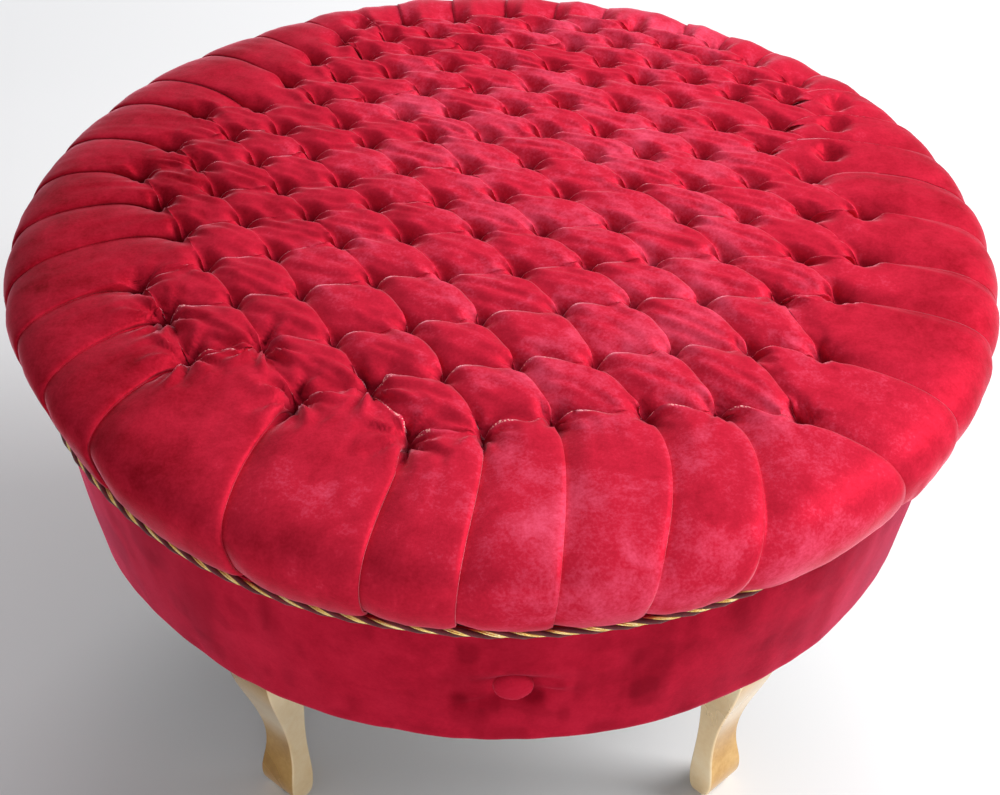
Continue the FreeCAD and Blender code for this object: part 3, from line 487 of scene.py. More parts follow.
L_END = PL[-1]
tt = np.linspace(0, 1, NT + 1)
tt = tt - 0.36 * np.sin(2 * math.pi * tt) / (2 * math.pi)
channels = []
for q, k0 in enumerate(pleats):
    k1 = pleats[(q + 1) % len(pleats)]
    ks = [k0]
    while (ks[-1] + 1) % M != k1:
        ks.append((ks[-1] + 1) % M)
    e0 = end_u[q]
    e1 = end_u[(q + 1) % len(pleats)] + (2 * math.pi if q == len(pleats) - 1 else 0)
    base, deps, lips, latd, soft0, sharp0 = [], [], [], [], [], []
    for n_, k in enumerate(ks):
        a, b, kind, tag = chain[k]
        s = SS if not n_ else SS[1:]
        base.append(TUFT[a] * (1 - s)[:, None] + TUFT[b] * s[:, None])
        side, ti, tj = tag
        Ta, Tb = tuft_depth(a), tuft_depth(b)
        nrm = np.array([TUFT[b][1] - TUFT[a][1], -(TUFT[b][0] - TUFT[a][0])])
        nrm = nrm / np.linalg.norm(nrm)          # outward (away from the lattice)
        if side == "L":        # the channel overlaps the cell on its right, front end strongest
            ep = edge_par(("u", ti, tj))
            deps.append(u_lip(s, Ta, Tb, ep))
            amt, sf = u_lat(s, ep), 15.0
        elif side == "F":      # the channel's head overlaps the cell behind it
            ep = edge_par(("v", ti + 1, tj))
            deps.append(v_lip(s, Ta, Tb, ep))
            amt, sf = v_lat(s, ep), 15.0
        elif side == "R":
            ep = edge_par(("u", ti, tj + 1))
            deps.append(u_dive(1 - s, Tb, Ta, ep))
            amt, sf = 0 * s, 32.0
        else:
            ep = edge_par(("v", ti, tj))
            deps.append(v_dive(1 - s, Tb, Ta, ep))
            amt, sf = 0 * s, 32.0
        lips.append((amt > 0) * arc(s, 0.5) * min(1.0, 1.4 * ep["f"]))
        sharp0.append(np.full(len(s), ep["s"]))
        soft0.append(np.full(len(s), sf))
        latd.append(-nrm[None] * amt[:, None])
    soft0 = np.concatenate(soft0)
    sharp0 = np.concatenate(sharp0)
    base = np.vstack(base)
    d0 = np.concatenate(deps)
    lip0 = np.concatenate(lips)
    lat0 = np.vstack(latd)
    cum = np.concatenate([[0], np.cumsum(np.linalg.norm(np.diff(base, axis=0), axis=1))])
    sp = cum / cum[-1]
    th0 = np.unwrap(np.concatenate([[own_u[q]], np.arctan2(base[:, 1], base[:, 0])]))[1:]
    th0 = own_u[q] + ((th0 - th0[0]))
    l0 = arc_of_r(np.hypot(base[:, 0], base[:, 1]))
    th1 = e0 + (e1 - e0) * sp
    # rows: t outwards, columns: s across
    t = tt[:, None]
    ease = smooth01(t * 1.15)
    TH = th0[None] + (th1 - th0)[None] * ease
    LL = l0[None] + (L_END - l0)[None] * t
    P0, N0 = seat_point(LL, TH)
    dS = np.linalg.norm(np.diff(P0, axis=1), axis=2)
    cs = np.concatenate([np.zeros((NT + 1, 1)), np.cumsum(dS, 1)], 1)
    width = cs[:, -1:]
    dT = np.linalg.norm(np.diff(P0, axis=0), axis=2)
    ct = np.concatenate([np.zeros((1, P0.shape[1])), np.cumsum(dT, 0)], 0)
    length = ct[-1:]
    g = np.random.default_rng([q, 21])
    az_c = math.atan2(base[:, 1].mean(), base[:, 0].mean())
    fr = smooth01((-math.sin(az_c) - 0.25) / 0.55)            # 1 at the front, 0 at the sides and rear
    pd = 2.6 + 2.8 * fr - 1.0 * smooth01(math.sin(az_c) / 0.6) + g.uniform(-0.4, 0.6)
    ta, tb = tuft_depth(chain[k0][0]), tuft_depth(chain[k1][0])

    def pleat_depth(ct, dep, mid, reach, bottom):
        a = 1 - np.exp(-(ct / reach) ** 1.1)
        z = dep * (1 - a) + mid * a
        return z + (bottom - mid) * smooth01(1 - (length - ct) / 30.0)

    sn = cs / width
    crisp = max(fr, smooth01((-math.cos(az_c) - 0.25) / 0.5))     # crisp pleats at the front and left, soft ones elsewhere
    dive_l = pleat_depth(ct, ta, pd, 20.0, 6.0) * fall(cs / np.minimum(38.0, 0.85 * width), 0.15 + 0.85 * crisp)
    lip_d = pd - (pd - 0.7 - 0.5 * fr) * (0.25 + 0.75 * crisp)
    soft_p = (9.0 + 12.0 * (1 - crisp)) + 5.0 * np.exp(-ct / 25.0)
    lip_g = pleat_depth(ct, tb, lip_d, 13.0, 3.0) * fall((width - cs) / np.minimum(soft_p, 0.45 * width), 0.15 + 0.85 * crisp)
    edge0 = d0[None] * fall(ct / soft0[None], sharp0[None])
    pits = [pit(P0[..., :2], chain[k0][0], 15.0, 1.3), pit(P0[..., :2], chain[k1][0], 15.0, 1.3)] + \
        [pit(P0[..., :2], chain[k][0], 14.0, 1.3) for k in ks[1:]]
    curl = 4.0 * np.clip(1 - (length - ct) / 13.0, 0, 1) ** 2
    D = pnorm([dive_l, lip_g, edge0] + pits, 3.2) + curl
    bulge = (4 * sn * (1 - sn)) ** 0.8
    D = D - (0.25 + g.uniform(-0.2, 0.45)) * bulge * smooth01(ct / 40.0) * smooth01((length - ct) / 25)
    # gathering lines that run down from the tufts and up from the groove
    kx = g.uniform(1.6, 2.8)
    ph = g.uniform(0, 6.28)
    line1 = np.sin(6.28 * kx * sn + ph) + 0.6 * np.sin(6.28 * (2.1 * kx) * sn + 1.7 * ph)
    D = D + 0.5 * line1 * bulge * np.exp(-ct / 40.0) * smooth01(ct / 6.0) * g.uniform(0.3, 1.4)
    line2 = np.sin(6.28 * (kx + 0.9) * sn + 2.3 * ph) + 0.7 * np.sin(6.28 * (2.3 * kx + 1) * sn + 0.7 * ph)
    D = D + 0.42 * line2 * bulge * np.exp(-(length - ct) / 24.0) * g.uniform(0.5, 1.5)
    # lateral: the lip of the s = 1 side leans over the next channel
    latA = (0.4 + 1.1 * crisp + 1.9 * fr) * g.uniform(0.75, 1.2) * (1 - np.exp(-ct / 18.0)) * smooth01((length - ct) / 14.0) * \
        fall((width - cs) / np.minimum(20.0, 0.5 * width))
    TH2 = TH + latA / np.maximum(np.interp(LL, PL, PROF[:, 0]), 60.0)
    P, N = seat_point(LL, TH2)
    shift = lat0[None] * fall(ct / 30.0)[..., None]
    XY = P[..., :2] + shift
    near = ct < 32.0
    r2 = np.hypot(XY[..., 0], XY[..., 1])
    Pq, Nq = seat_point(arc_of_r(np.minimum(r2, PROF[K_RIM, 0] - 0.5)), np.arctan2(XY[..., 1], XY[..., 0]))
    ok = (near & (LL < PL[K_RIM] - 12))[..., None]
    P = np.where(ok, Pq, P)
    N = np.where(ok, Nq, N)
    D[0] = d0
    P = P - N * D[..., None]
    pos = 0
    for n_, k in enumerate(ks + [k1]):
        key = chain[k][0]
        qq, nn = seat_point(arc_of_r(np.hypot(*TUFT[key])), math.atan2(TUFT[key][1], TUFT[key][0]))
        P[0, min(n_ * NC, P.shape[1] - 1)] = qq - nn * tuft_depth(key)
    lm = np.maximum(lip0[None] * fall(ct / 5.0), 0.3 * fall((width - cs) / 3.5) * np.exp(-ct / 70.0))
    idx = add_grid(P, lm)
    add_faces(idx, tag=2)
    channels.append(dict(idx=idx, P=P, N=N, ks=ks))


def stitch(rowA, PA, NA, out_dir, rowB, PB, flip):
    """Rolls the lip of row A under and joins it to the dive row B."""
    global _count
    gap = np.linalg.norm(PA - PB, axis=1)
    a = smooth01(gap / 4.0)
    P1 = PA * 0.92 + PB * 0.08 + out_dir * (0.9 * a)[:, None] - NA * (1.1 * a)[:, None]
    P2 = PA * 0.55 + PB * 0.45 + out_dir * (0.1 * a)[:, None] - NA * (1.2 * a)[:, None]
    V_ALL.append(P1)
    V_ALL.append(P2)
    LIP_ALL.append(0.5 * a)
    LIP_ALL.append(np.zeros(len(P2)))
    i1 = np.arange(_count, _count + len(P1))
    i2 = i1 + len(P1)
    _count += 2 * len(P1)
    add_faces(np.stack([rowA, i1, i2, rowB]), flip)


for (i, j) in cells:
    idx, P, N = cell_rows[(i, j)]
    # rear lip of this cell over the cell behind it
    if (i - 1, j) in cellset:
        bi, bP, bN = cell_rows[(i - 1, j)]
        od = P[0] - P[1]
        od = od / np.maximum(np.linalg.norm(od, axis=1)[:, None], 1e-6)
        stitch(idx[0], P[0], N[0], od, bi[-1], bP[-1], True)
    # right lip over the cell on the right
    if (i, j + 1) in cellset:
        bi, bP, bN = cell_rows[(i, j + 1)]
        od = P[:, -1] - P[:, -2]
        od = od / np.maximum(np.linalg.norm(od, axis=1)[:, None], 1e-6)
        stitch(idx[:, -1], P[:, -1], N[:, -1], od, bi[:, 0], bP[:, 0], True)

for q, ch in enumerate(channels):
    for n_, k in enumerate(ch["ks"]):
        a, b, kind, (side, i, j) = chain[k]
        idx, P, N = cell_rows[(i, j)]
        sl = slice(n_ * NC, n_ * NC + NC + 1)
        rowC, PC, NC_, P1 = ch["idx"][0, sl], ch["P"][0, sl], ch["N"][0, sl], ch["P"][1, sl]
        if side == "L":
            rB, pB, nB, pB1 = idx[:, 0], P[:, 0], N[:, 0], P[:, 1]
        elif side == "F":
            rB, pB, nB, pB1 = idx[-1, :], P[-1, :], N[-1, :], P[-2, :]
        elif side == "R":
            rB, pB, nB, pB1 = idx[::-1, -1], P[::-1, -1], N[::-1, -1], P[::-1, -2]
        else:
            rB, pB, nB, pB1 = idx[0, ::-1], P[0, ::-1], N[0, ::-1], P[1, ::-1]
        if kind == "lip":
            od = PC - P1
            od = od / np.maximum(np.linalg.norm(od, axis=1)[:, None], 1e-6)
            stitch(rowC, PC, NC_, od, rB, pB, True)
        else:
            od = pB - pB1
            od = od / np.maximum(np.linalg.norm(od, axis=1)[:, None], 1e-6)
            stitch(rB, pB, nB, od, rowC, PC, False)
    nx = channels[(q + 1) % len(channels)]
    rA, pA, nA = ch["idx"][:, -1], ch["P"][:, -1], ch["N"][:, -1]
    rB, pB = nx["idx"][:, 0], nx["P"][:, 0]
    od = ch["P"][:, -1] - ch["P"][:, -2]
    od = od / np.maximum(np.linalg.norm(od, axis=1)[:, None], 1e-6)
    stitch(rA, pA, nA, od, rB, pB, True)

# the underside: the velvet turns in under the wadding and closes on the deck
verts = np.vstack(V_ALL)
lipv = np.concatenate(LIP_ALL)
faces = np.vstack(F_ALL).tolist()
verts, faces, at, ftag = weld(verts, faces, {"lip": lipv}, tags=np.concatenate(TAG_ALL))
edge_use = {}
for f in faces:
    for a, b in zip(f, f[1:] + f[:1]):
        edge_use[(a, b)] = edge_use.get((a, b), 0) + 1
nxt = {b: a for (a, b) in edge_use if (b, a) not in edge_use}     # open edges, reversed
loop = [next(iter(nxt))]
while nxt[loop[-1]] != loop[0]:
    loop.append(nxt[loop[-1]])
loop = np.array(loop)
print("seat: open loop of %d of %d edges" % (len(loop), len(nxt)))
rim = verts[loop]
th = np.unwrap(np.arctan2(rim[:, 1], rim[:, 0]))
th_even = np.linspace(th[0], th[0] + (2 * math.pi if th[-1] > th[0] else -2 * math.pi), len(loop), endpoint=False)
rows_v = []
r_now, z_now = np.hypot(rim[:, 0], rim[:, 1]), rim[:, 2]
for w, (rr, zz) in zip((0.35, 0.75, 1.0, 1.0, 1.0, 1.0), ((363.5, 372.6), (361, 369.6), (358.6, 367.5), (330, 367.3), (200, 367.3), (60, 367.3))):
    tw = th * (1 - w) + th_even * w
    ra = r_now * (1 - w) + rr * w
    za = z_now * (1 - w) + zz * w
    rows_v.append(np.c_[ra * np.cos(tw), ra * np.sin(tw), za])
n0 = len(verts)
nl = len(loop)
new = np.vstack(rows_v + [np.array([[0, 0, 367.3]])])
idx_rows = [loop] + [n0 + k * nl + np.arange(nl) for k in range(len(rows_v))]
for A, B in zip(idx_rows[:-1], idx_rows[1:]):
    for k in range(nl):
        k2 = (k + 1) % nl
        faces.append([int(A[k]), int(A[k2]), int(B[k2]), int(B[k])])
c = n0 + len(new) - 1
last = idx_rows[-1]
for k in range(nl):
    faces.append([int(last[k]), int(last[(k + 1) % nl]), c])
verts = np.vstack([verts, new])
lipv = np.concatenate([at["lip"], np.zeros(len(new))])

# the cloth settles. First a few smoothing steps that leave tufts and lips alone.
tri_e = set()
for f in faces:
    for a_, b_ in zip(f, f[1:] + f[:1]):
        tri_e.add((a_, b_) if a_ < b_ else (b_, a_))
E = np.array(sorted(tri_e))
deg = np.bincount(E.ravel(), minlength=len(verts)).astype(float)
hold = np.zeros(len(verts))
tuft_at = {}
for k in TUFT:
    q, nn = seat_point(arc_of_r(np.hypot(*TUFT[k])), math.atan2(TUFT[k][1], TUFT[k][0]))
    tuft_at[k] = int(np.argmin(((verts - (q - nn * tuft_depth(k))) ** 2).sum(1)))
    hold[tuft_at[k]] = 1
hold[loop] = 1
hold[n0:] = 1


def gather(values, at, n):
    return np.stack([np.bincount(at, values[:, c], n) for c in range(3)], 1)


def neighbour_mean(x):
    n = len(x)
    return (gather(x[E[:, 1]], E[:, 0], n) + gather(x[E[:, 0]], E[:, 1], n)) / deg[:, None]


lam = 0.5 * (1 - 0.72 * np.clip(lipv * 1.6, 0, 1)) * (1 - hold)
for _ in range(3):
    verts = verts + lam[:, None] * (neighbour_mean(verts) - verts)

# creases gather towards each tuft
outer_tufts = {link[0] for link in chain}


def gathers(x, nrm):
    """Height (mm) of the radial creases round the tufts, for points x; the normals nrm are not used."""
    h = np.zeros(len(x))
    for k, n_ in tuft_at.items():
        d = x - x[n_]
        rho = np.linalg.norm(d[:, :2], axis=1)
        near = np.where((rho < 40) & (np.abs(d[:, 2]) < 45))[0]
        if not len(near):
            continue
        g = np.random.default_rng([(k[0] + 60) * 1013 + k[1] + 60, 33])
        th_t = math.atan2(TUFT[k][1], TUFT[k][0])
        ph = np.arctan2(d[near, 1], d[near, 0])
        outer = 1.0 if k in outer_tufts else 0.0
        front = smooth01((-0.1 - math.sin(th_t)) / 0.4) * (0.35 + 0.65 * smooth01((0.05 - math.cos(th_t)) / 0.4))
        n_w = int(g.integers(6, 9))
        wob = 0.5 * vnoise(x[near], 14.0, 61)
        w1 = 1 - 2 * np.abs(np.sin(0.5 * n_w * ph + g.uniform(0, 6.28) + wob))
        w2 = 1 - 2 * np.abs(np.sin(0.5 * (2 * n_w - 1) * ph + g.uniform(0, 6.28) + 2 * wob))
        r_ = rho[near]
        reach = g.uniform(11.0, 16.0) + 13 * outer * front
        amp = g.uniform(0.8, 1.3) * (1 + 0.5 * outer) * (1 + 2.2 * outer * front)
        sect = 0.62 + 0.2 * outer * front + 0.38 * vnoise(np.c_[np.cos(ph), np.sin(ph), 0 * ph] * 1.3 + 7.0 * g.uniform(0, 9), 1.0, 62)
        win = smooth01((r_ - 3.0) / 7.0) * np.exp(-(r_ / reach) ** 2)
        h[near] += amp * (0.75 * w1 + 0.45 * w2) * win * sect * 1.5
    return h


def normals_of(x):
    """Vertex normals of the cover, from its quads."""
    Q = np.array([f for f in faces if len(f) == 4])
    n_ = np.cross(x[Q[:, 2]] - x[Q[:, 0]], x[Q[:, 3]] - x[Q[:, 1]])
    out = np.zeros_like(x)
    for c_ in range(4):
        out += gather(n_, Q[:, c_], len(x))
    return out / np.maximum(np.linalg.norm(out, axis=1), 1e-9)[:, None]


NV = normals_of(verts)
if NV[verts[:, 2] > 440, 2].mean() < 0:
    NV = -NV
verts = verts + NV * (gathers(verts, NV) * (1 - hold))[:, None]

# Then a cloth solve: threads have a rest length, and there is a little more cloth
# across each pillow's long diagonal, and across each channel, than lies flat, so it
# buckles into creases. Every point may move only a few millimetres from its place.
Fq = np.array([f for f, t_ in zip(faces[:len(ftag)], ftag) if len(f) == 4 and t_ == 1])
Fc = np.array([f for f, t_ in zip(faces[:len(ftag)], ftag) if len(f) == 4 and t_ == 2])
Fs = np.array([f for f, t_ in zip(faces[:len(ftag)], ftag) if len(f) == 4 and t_ == 0])
XC = 1.13
sets = [
    (Fq[:, [0, 1]], 1.045), (Fq[:, [0, 3]], 1.045), (Fq[:, [0, 2]], 0.98), (Fq[:, [1, 3]], XC),
    (Fc[:, [0, 1]], 1.0), (Fc[:, [0, 3]], 1.07), (Fc[:, [0, 2]], 1.03), (Fc[:, [1, 3]], 1.03),
    (Fs[:, [0, 1]], 1.0), (Fs[:, [0, 3]], 1.0), (Fs[:, [0, 2]], 1.0), (Fs[:, [1, 3]], 1.0),
]
CA = np.vstack([c_ for c_, _ in sets])
L0 = np.linalg.norm(verts[CA[:, 0]] - verts[CA[:, 1]], axis=1)
L0 = L0 * np.concatenate([np.full(len(c_), m_) for c_, m_ in sets])
free = (1 - hold)
x0 = verts.copy()
mid = verts[CA].mean(1)
L0 = L0 * (1 + 0.02 * vnoise(mid, 34.0, 41))
seed_n = np.stack([vnoise(x0, 8.0, 51 + c_) for c_ in range(3)], 1)
x = x0 + 0.22 * seed_n * free[:, None]
cnt = np.maximum(np.bincount(CA.ravel(), minlength=len(x)), 1).astype(float)
cap = 3.2
for it in range(130):
    d_ = x[CA[:, 1]] - x[CA[:, 0]]
    ln = np.maximum(np.linalg.norm(d_, axis=1), 1e-6)
    cor = ((ln - L0) / ln * 0.5)[:, None] * d_
    acc = gather(cor, CA[:, 0], len(x)) - gather(cor, CA[:, 1], len(x))
    x = x + free[:, None] * acc / cnt[:, None] * 1.6
    if it % 3 == 0:          # bending stiffness
        dx = x - x0
        x = x + free[:, None] * 0.10 * (neighbour_mean(dx) - dx)
    dx = x - x0
    dl = np.linalg.norm(dx, axis=1)
    x = x0 + dx * np.minimum(1.0, cap / np.maximum(dl, 1e-9))[:, None]
dx = x - x0
x = x + free[:, None] * 0.25 * (neighbour_mean(x) - x)
print("seat: cloth solve moved points by %.2f mm rms, %.2f mm at most" % (math.sqrt((dx ** 2).sum(1).mean()), np.linalg.norm(dx, axis=1).max()))
verts = x

# small irregularities of the stuffing and the cloth
vv = verts.copy()
rr_ = np.hypot(vv[:, 0], vv[:, 1])
top = smooth01((vv[:, 2] - 372) / 20.0)
lump = 1.5 * vnoise(vv, 60.0, 1) + 0.55 * vnoise(vv, 23.0, 2)
wr = 0.16 * vnoise(vv * [1, 1, 1], 9.0, 3) + 0.07 * vnoise(vv, 4.5, 4)
me_n = np.c_[vv[:, 0] * 0, vv[:, 1] * 0, np.ones(len(vv))]
radial = np.c_[vv[:, :2] / np.maximum(rr_, 1)[:, None], np.zeros(len(vv))]
tilt = smooth01((rr_ - 340) / 55.0)[:, None]
nrm = me_n * (1 - tilt) + radial * tilt
nrm /= np.linalg.norm(nrm, axis=1)[:, None]
verts = vv + nrm * ((lump + wr) * top)[:, None]

# on the right the pad hangs a little lower and hides the cord
az = np.degrees(np.arctan2(verts[:, 1], verts[:, 0]))
SAG = lambda a: smooth01((a + 68) / 10.0) * smooth01((-14 - a) / 12.0)
low = smooth01((412 - verts[:, 2]) / 34.0) * smooth01((np.hypot(verts[:, 0], verts[:, 1]) - 352) / 12.0)
sg = SAG(az) * low
verts[:, 2] -= 4.6 * sg
verts[:, :2] *= (1 + 0.004 * sg)[:, None]

# on the front left it is drawn in, and the cord shows beneath it
CUT_AZ = [-176, -168, -160, -155, -150, -145, -140, -135, -130, -125, -120, -115, -108]
CUT = [0.0, 3.5, 9.0, 10.8, 10.2, 8.6, 7.0, 5.4, 4.2, 3.2, 2.2, 1.2, 0.0]
cut = np.interp(az, CUT_AZ, CUT) * smooth01((440 - verts[:, 2]) / 34.0) * smooth01((np.hypot(verts[:, 0], verts[:, 1]) - 362) / 12.0)
verts[:, :2] *= (1 - cut / np.maximum(np.hypot(verts[:, 0], verts[:, 1]), 1.0))[:, None]

vr, vz = np.hypot(verts[:, 0], verts[:, 1]), verts[:, 2]
use = vz > 376
near_k = np.zeros(len(verts), int)
for c0 in range(0, len(verts), 8000):
    d2 = (vr[c0:c0 + 8000, None] - PROF[None, :, 0]) ** 2 + (vz[c0:c0 + 8000, None] - PROF[None, :, 1]) ** 2
    near_k[c0:c0 + 8000] = d2.argmin(1)
dep = -((vr - PROF[near_k, 0]) * PN[near_k, 0] + (vz - PROF[near_k, 1]) * PN[near_k, 1])
# Painted shade: this mask darkens the velvet where the cloth lies deep below the finished form, in folds and tuft pits.
deep = smooth01((dep - 6.5) / 8.0) * smooth01((vz - 378) / 10)
cover = make_object("seat_velvet", verts, faces, attrs={"lip": lipv, "deep": deep})
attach(cover, "root")
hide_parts("seat_cover")


# ------------------------------------------------------------------- wadding
from mathutils import Vector

NTH, NLR = 180, 60
L_W = PL[-1] - 36
ths = np.linspace(0, 2 * math.pi, NTH, endpoint=False)
lrs = np.linspace(6, L_W, NLR)
li = np.clip(np.round((PL[near_k] - 6) / (L_W - 6) * (NLR - 1)).astype(int), 0, NLR - 1)
ti = np.round(np.arctan2(verts[:, 1], verts[:, 0]) / (2 * math.pi) * NTH).astype(int) % NTH
G = np.zeros((NLR, NTH))
np.maximum.at(G, (li[use], ti[use]), dep[use])
for rep in range(2):         # the deepest reading nearby, so that the wadding stays under the cloth
    G = np.maximum(G, np.maximum(np.roll(G, 1, 1), np.roll(G, -1, 1)))
    up_, dn_ = G.copy(), G.copy()
    up_[1:] = G[:-1]
    dn_[:-1] = G[1:]
    G = np.maximum(G, np.maximum(up_, dn_))
depth_w = np.clip(G + 1.6, 4, 25.4)
outer_rows = []
for a in range(NLR):
    Pw, Nw = seat_point(np.full(NTH, lrs[a]), ths)
    outer_rows.append(Pw - Nw * depth_w[a][:, None])
wv, wf = [], []
wv.append(np.array([[0, 0, outer_rows[0][:, 2].mean()]]))
for row in outer_rows:
    wv.append(row)
# the inner face lies over the foam
inner = [(364, 391.0), (368.0, 394), (369.5, 401), (367.5, 412), (358, 426), (340, 433.2), (250, 433.6), (120, 433.6), (10, 433.6)]
for rr, zz in inner:
    wv.append(np.c_[rr * np.cos(ths), rr * np.sin(ths), np.full(NTH, zz)])
wv.append(np.array([[0, 0, 433.6]]))
wv = np.vstack(wv)
nr = NLR + len(inner)
for k in range(NTH):
    k2 = (k + 1) % NTH
    wf.append([0, 1 + k, 1 + k2])
    for a in range(nr - 1):
        o = 1 + a * NTH
        wf.append([o + k, o + NTH + k, o + NTH + k2, o + k2])
    o = 1 + (nr - 1) * NTH
    wf.append([o + k, len(wv) - 1, o + k2])
wad = make_object("seat_wadding_layer", wv, wf)
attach(wad, "root")
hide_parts("seat_wadding")


# ---------------------------------------------------------------- side band
def band_disp(th_, s_z):
    """Outward displacement (mm) of the band at azimuth th_ (rad) and height s_z (mm)."""
    x = (th_ + math.pi / 2) * 355.4
    y = s_z - 299.0
    h = (s_z - 228.0) / 140.0
    d = 2.0 * np.sin(np.clip(h, 0, 1) * math.pi) ** 0.8
    cyl = np.stack([350 * np.cos(th_), 350 * np.sin(th_), s_z * 0.42], -1)
    d = d + 0.9 * vnoise(cyl, 58, 11) + 0.45 * vnoise(cyl * [1, 1, 1.3], 22, 12)
    pull = np.stack([350 * np.cos(th_), 350 * np.sin(th_), s_z * 0.12], -1)
    d = d + 0.40 * vnoise(pull, 15, 13) * smooth01((0.55 - h) / 0.55)
    d = d + 0.34 * vnoise(pull, 11, 14) * smooth01((h - 0.72) / 0.28)
    # the button pulls the cloth in and creases it
    d = d - 5.4 * np.exp(-(x / 25.0) ** 2 - (y / 15.0) ** 2)
    d = d + 1.1 * np.exp(-((y - 19) / 8.0) ** 2 - ((x - 6) / 40.0) ** 2)
    d = d - 2.0 * np.exp(-((y - 9.5 - 0.03 * x) / 4.2) ** 2 - ((x - 2) / 22.0) ** 2)
    d = d - 3.6 * np.exp(-((x - 15) / 7.5) ** 2 - ((y + 11) / 7.5) ** 2)
    d = d + 1.5 * np.exp(-((x - 33) / 10.0) ** 2 - ((y - 1.5) / 4.5) ** 2)
    d = d - 1.7 * np.exp(-((y + 6.0 + 0.22 * (x - 30)) / 2.8) ** 2 - ((x - 30) / 10.0) ** 2)
    d = d - 1.2 * np.exp(-((y - 7.0 + 0.25 * (x - 30)) / 2.6) ** 2 - ((x - 34) / 9.0) ** 2)
    d = d - 1.5 * np.exp(-((y + 16 - 0.35 * (x + 22)) / 4.0) ** 2 - ((x + 24) / 18.0) ** 2)
    d = d - 1.9 * np.exp(-((x + 42) / 7.0) ** 2 - ((y + 8) / 20.0) ** 2)
    return d


fine = np.radians(np.arange(-9.0, 9.01, 0.26)) - math.pi / 2
rest_n = 560
coarse = np.linspace(fine[-1], fine[0] + 2 * math.pi, rest_n + 2)[1:-1]
bth = np.concatenate([fine, coarse])
NB = len(bth)
zs = np.concatenate([[367.6, 366.2], np.linspace(364.0, 236.0, 58), [233.6, 231.4, 229.6, 228.3, 227.5, 227.1]])
rows_b = []
wave = 1.3 * vnoise(np.stack([350 * np.cos(bth), 350 * np.sin(bth), 0 * bth], -1), 75, 15) + \
    0.55 * vnoise(np.stack([350 * np.cos(bth), 350 * np.sin(bth), 0 * bth], -1), 26, 16)
for z in zs:
    r = 344 + 22.4 * (z - 228) / 140.0
    d = band_disp(bth, np.full(NB, z))
    top_in = smooth01((z - 360.0) / 7.5)
    d = d * (1 - 0.75 * top_in) - 1.6 * top_in
    edge_in = 0.0
    if z < 236:
        edge_in = 8.0 * (1 - math.sqrt(max(0.0, 1 - ((236 - z) / 9.0) ** 2)))
    rr = r + d - edge_in
    zz = z + wave * smooth01((300 - z) / 70.0) * 0.9 * (1 if z > 226 else 0)
    rows_b.append(np.c_[rr * np.cos(bth), rr * np.sin(bth), np.full(NB, 0.0) + zz])
for rr, zz in ((331.5, 227.0), (328.5, 227.6), (325.5, 228.3), (321.5, 228.7), (318.5, 228.8)):
    pk = 0.5 * vnoise(np.stack([350 * np.cos(bth), 350 * np.sin(bth), 0 * bth + rr], -1), 9, 17)
    zz_ = zz + (wave * 0.25 + pk) * (1 if rr > 319 else 0) * 0.6
    rows_b.append(np.c_[rr * np.cos(bth), rr * np.sin(bth), zz_])
B = np.stack(rows_b)                       # rows, columns, 3
dU = np.roll(B, -1, 1) - np.roll(B, 1, 1)
dV = np.gradient(B, axis=0)
nb = np.cross(dU, dV)
nb /= np.linalg.norm(nb, axis=2)[..., None]
flipn = np.sign((nb[10, :, :2] * B[10, :, :2]).sum(1).mean())
nb *= flipn
Bi = B - nb * 1.5
R_, C_ = B.shape[:2]
bverts = np.vstack([B.reshape(-1, 3), Bi.reshape(-1, 3)])
bx = (bth[None] + math.pi / 2) * 355.4 + 0 * B[..., 2]
by = B[..., 2] - 299.0
cy = np.stack([B[..., 0], B[..., 1], B[..., 2] * 0.6], -1)
# Painted shade: the velvet is darkened in the dents and creases that the button pulls in; random darker patches follow.
rub = 0.85 * np.exp(-((bx - 15) / 8.0) ** 2 - ((by + 12) / 8.0) ** 2)            # painted shade in the hollow below and right of the button
rub += 0.75 * np.exp(-((bx + 44) / 13.0) ** 2 - ((by + 10) / 9.0) ** 2) * (0.6 + 0.6 * vnoise(cy, 9, 71))
rub += 0.65 * np.exp(-((by - 10.5 - 0.03 * bx) / 3.6) ** 2 - ((bx - 2) / 26.0) ** 2)
rub += 0.60 * np.exp(-((by + 1) / 7.0) ** 2 - ((bx - 36) / 12.0) ** 2) * (0.6 + 0.6 * vnoise(cy, 7, 72))
# random darker patches in the upper band and round the button: crushed pile, and painted shade under the cord
rub += 0.50 * smooth01((vnoise(cy, 17, 73) - 0.05) / 0.5) * np.exp(-(bx / 110.0) ** 2) * smooth01((by + 50) / 30.0)
rub += 0.42 * smooth01((vnoise(cy, 34, 74) - 0.12) / 0.5) + 0.25 * smooth01((vnoise(cy, 13, 75) - 0.2) / 0.5)
rub = np.clip(rub, 0, 1).reshape(-1)
bf = []
off = R_ * C_
for a in range(R_ - 1):
    for k in range(C_):
        k2 = (k + 1) % C_
        q = [a * C_ + k, (a + 1) * C_ + k, (a + 1) * C_ + k2, a * C_ + k2]
        bf.append(q)
        bf.append([off + i for i in q[::-1]])
for k in range(C_):
    k2 = (k + 1) % C_
    bf.append([k, k2, off + k2, off + k])
    e = (R_ - 1) * C_
    bf.append([e + k2, e + k, off + e + k, off + e + k2])
band = make_object("band_velvet", bverts, bf, attrs={"deep": np.concatenate([rub, rub]), "lip": np.zeros(2 * len(rub))})
tri_area = 0.0
for a in range(R_ - 1):
    q0, q1 = B[a], B[a + 1]
    e1 = np.roll(q0, -1, 0) - q0
    e2 = q1 - q0
    tri_area += np.linalg.norm(np.cross(e1, e2), axis=1).sum()
print("band outer area m2:", tri_area * 1e-6)
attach(band, "root")
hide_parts("side_cover")


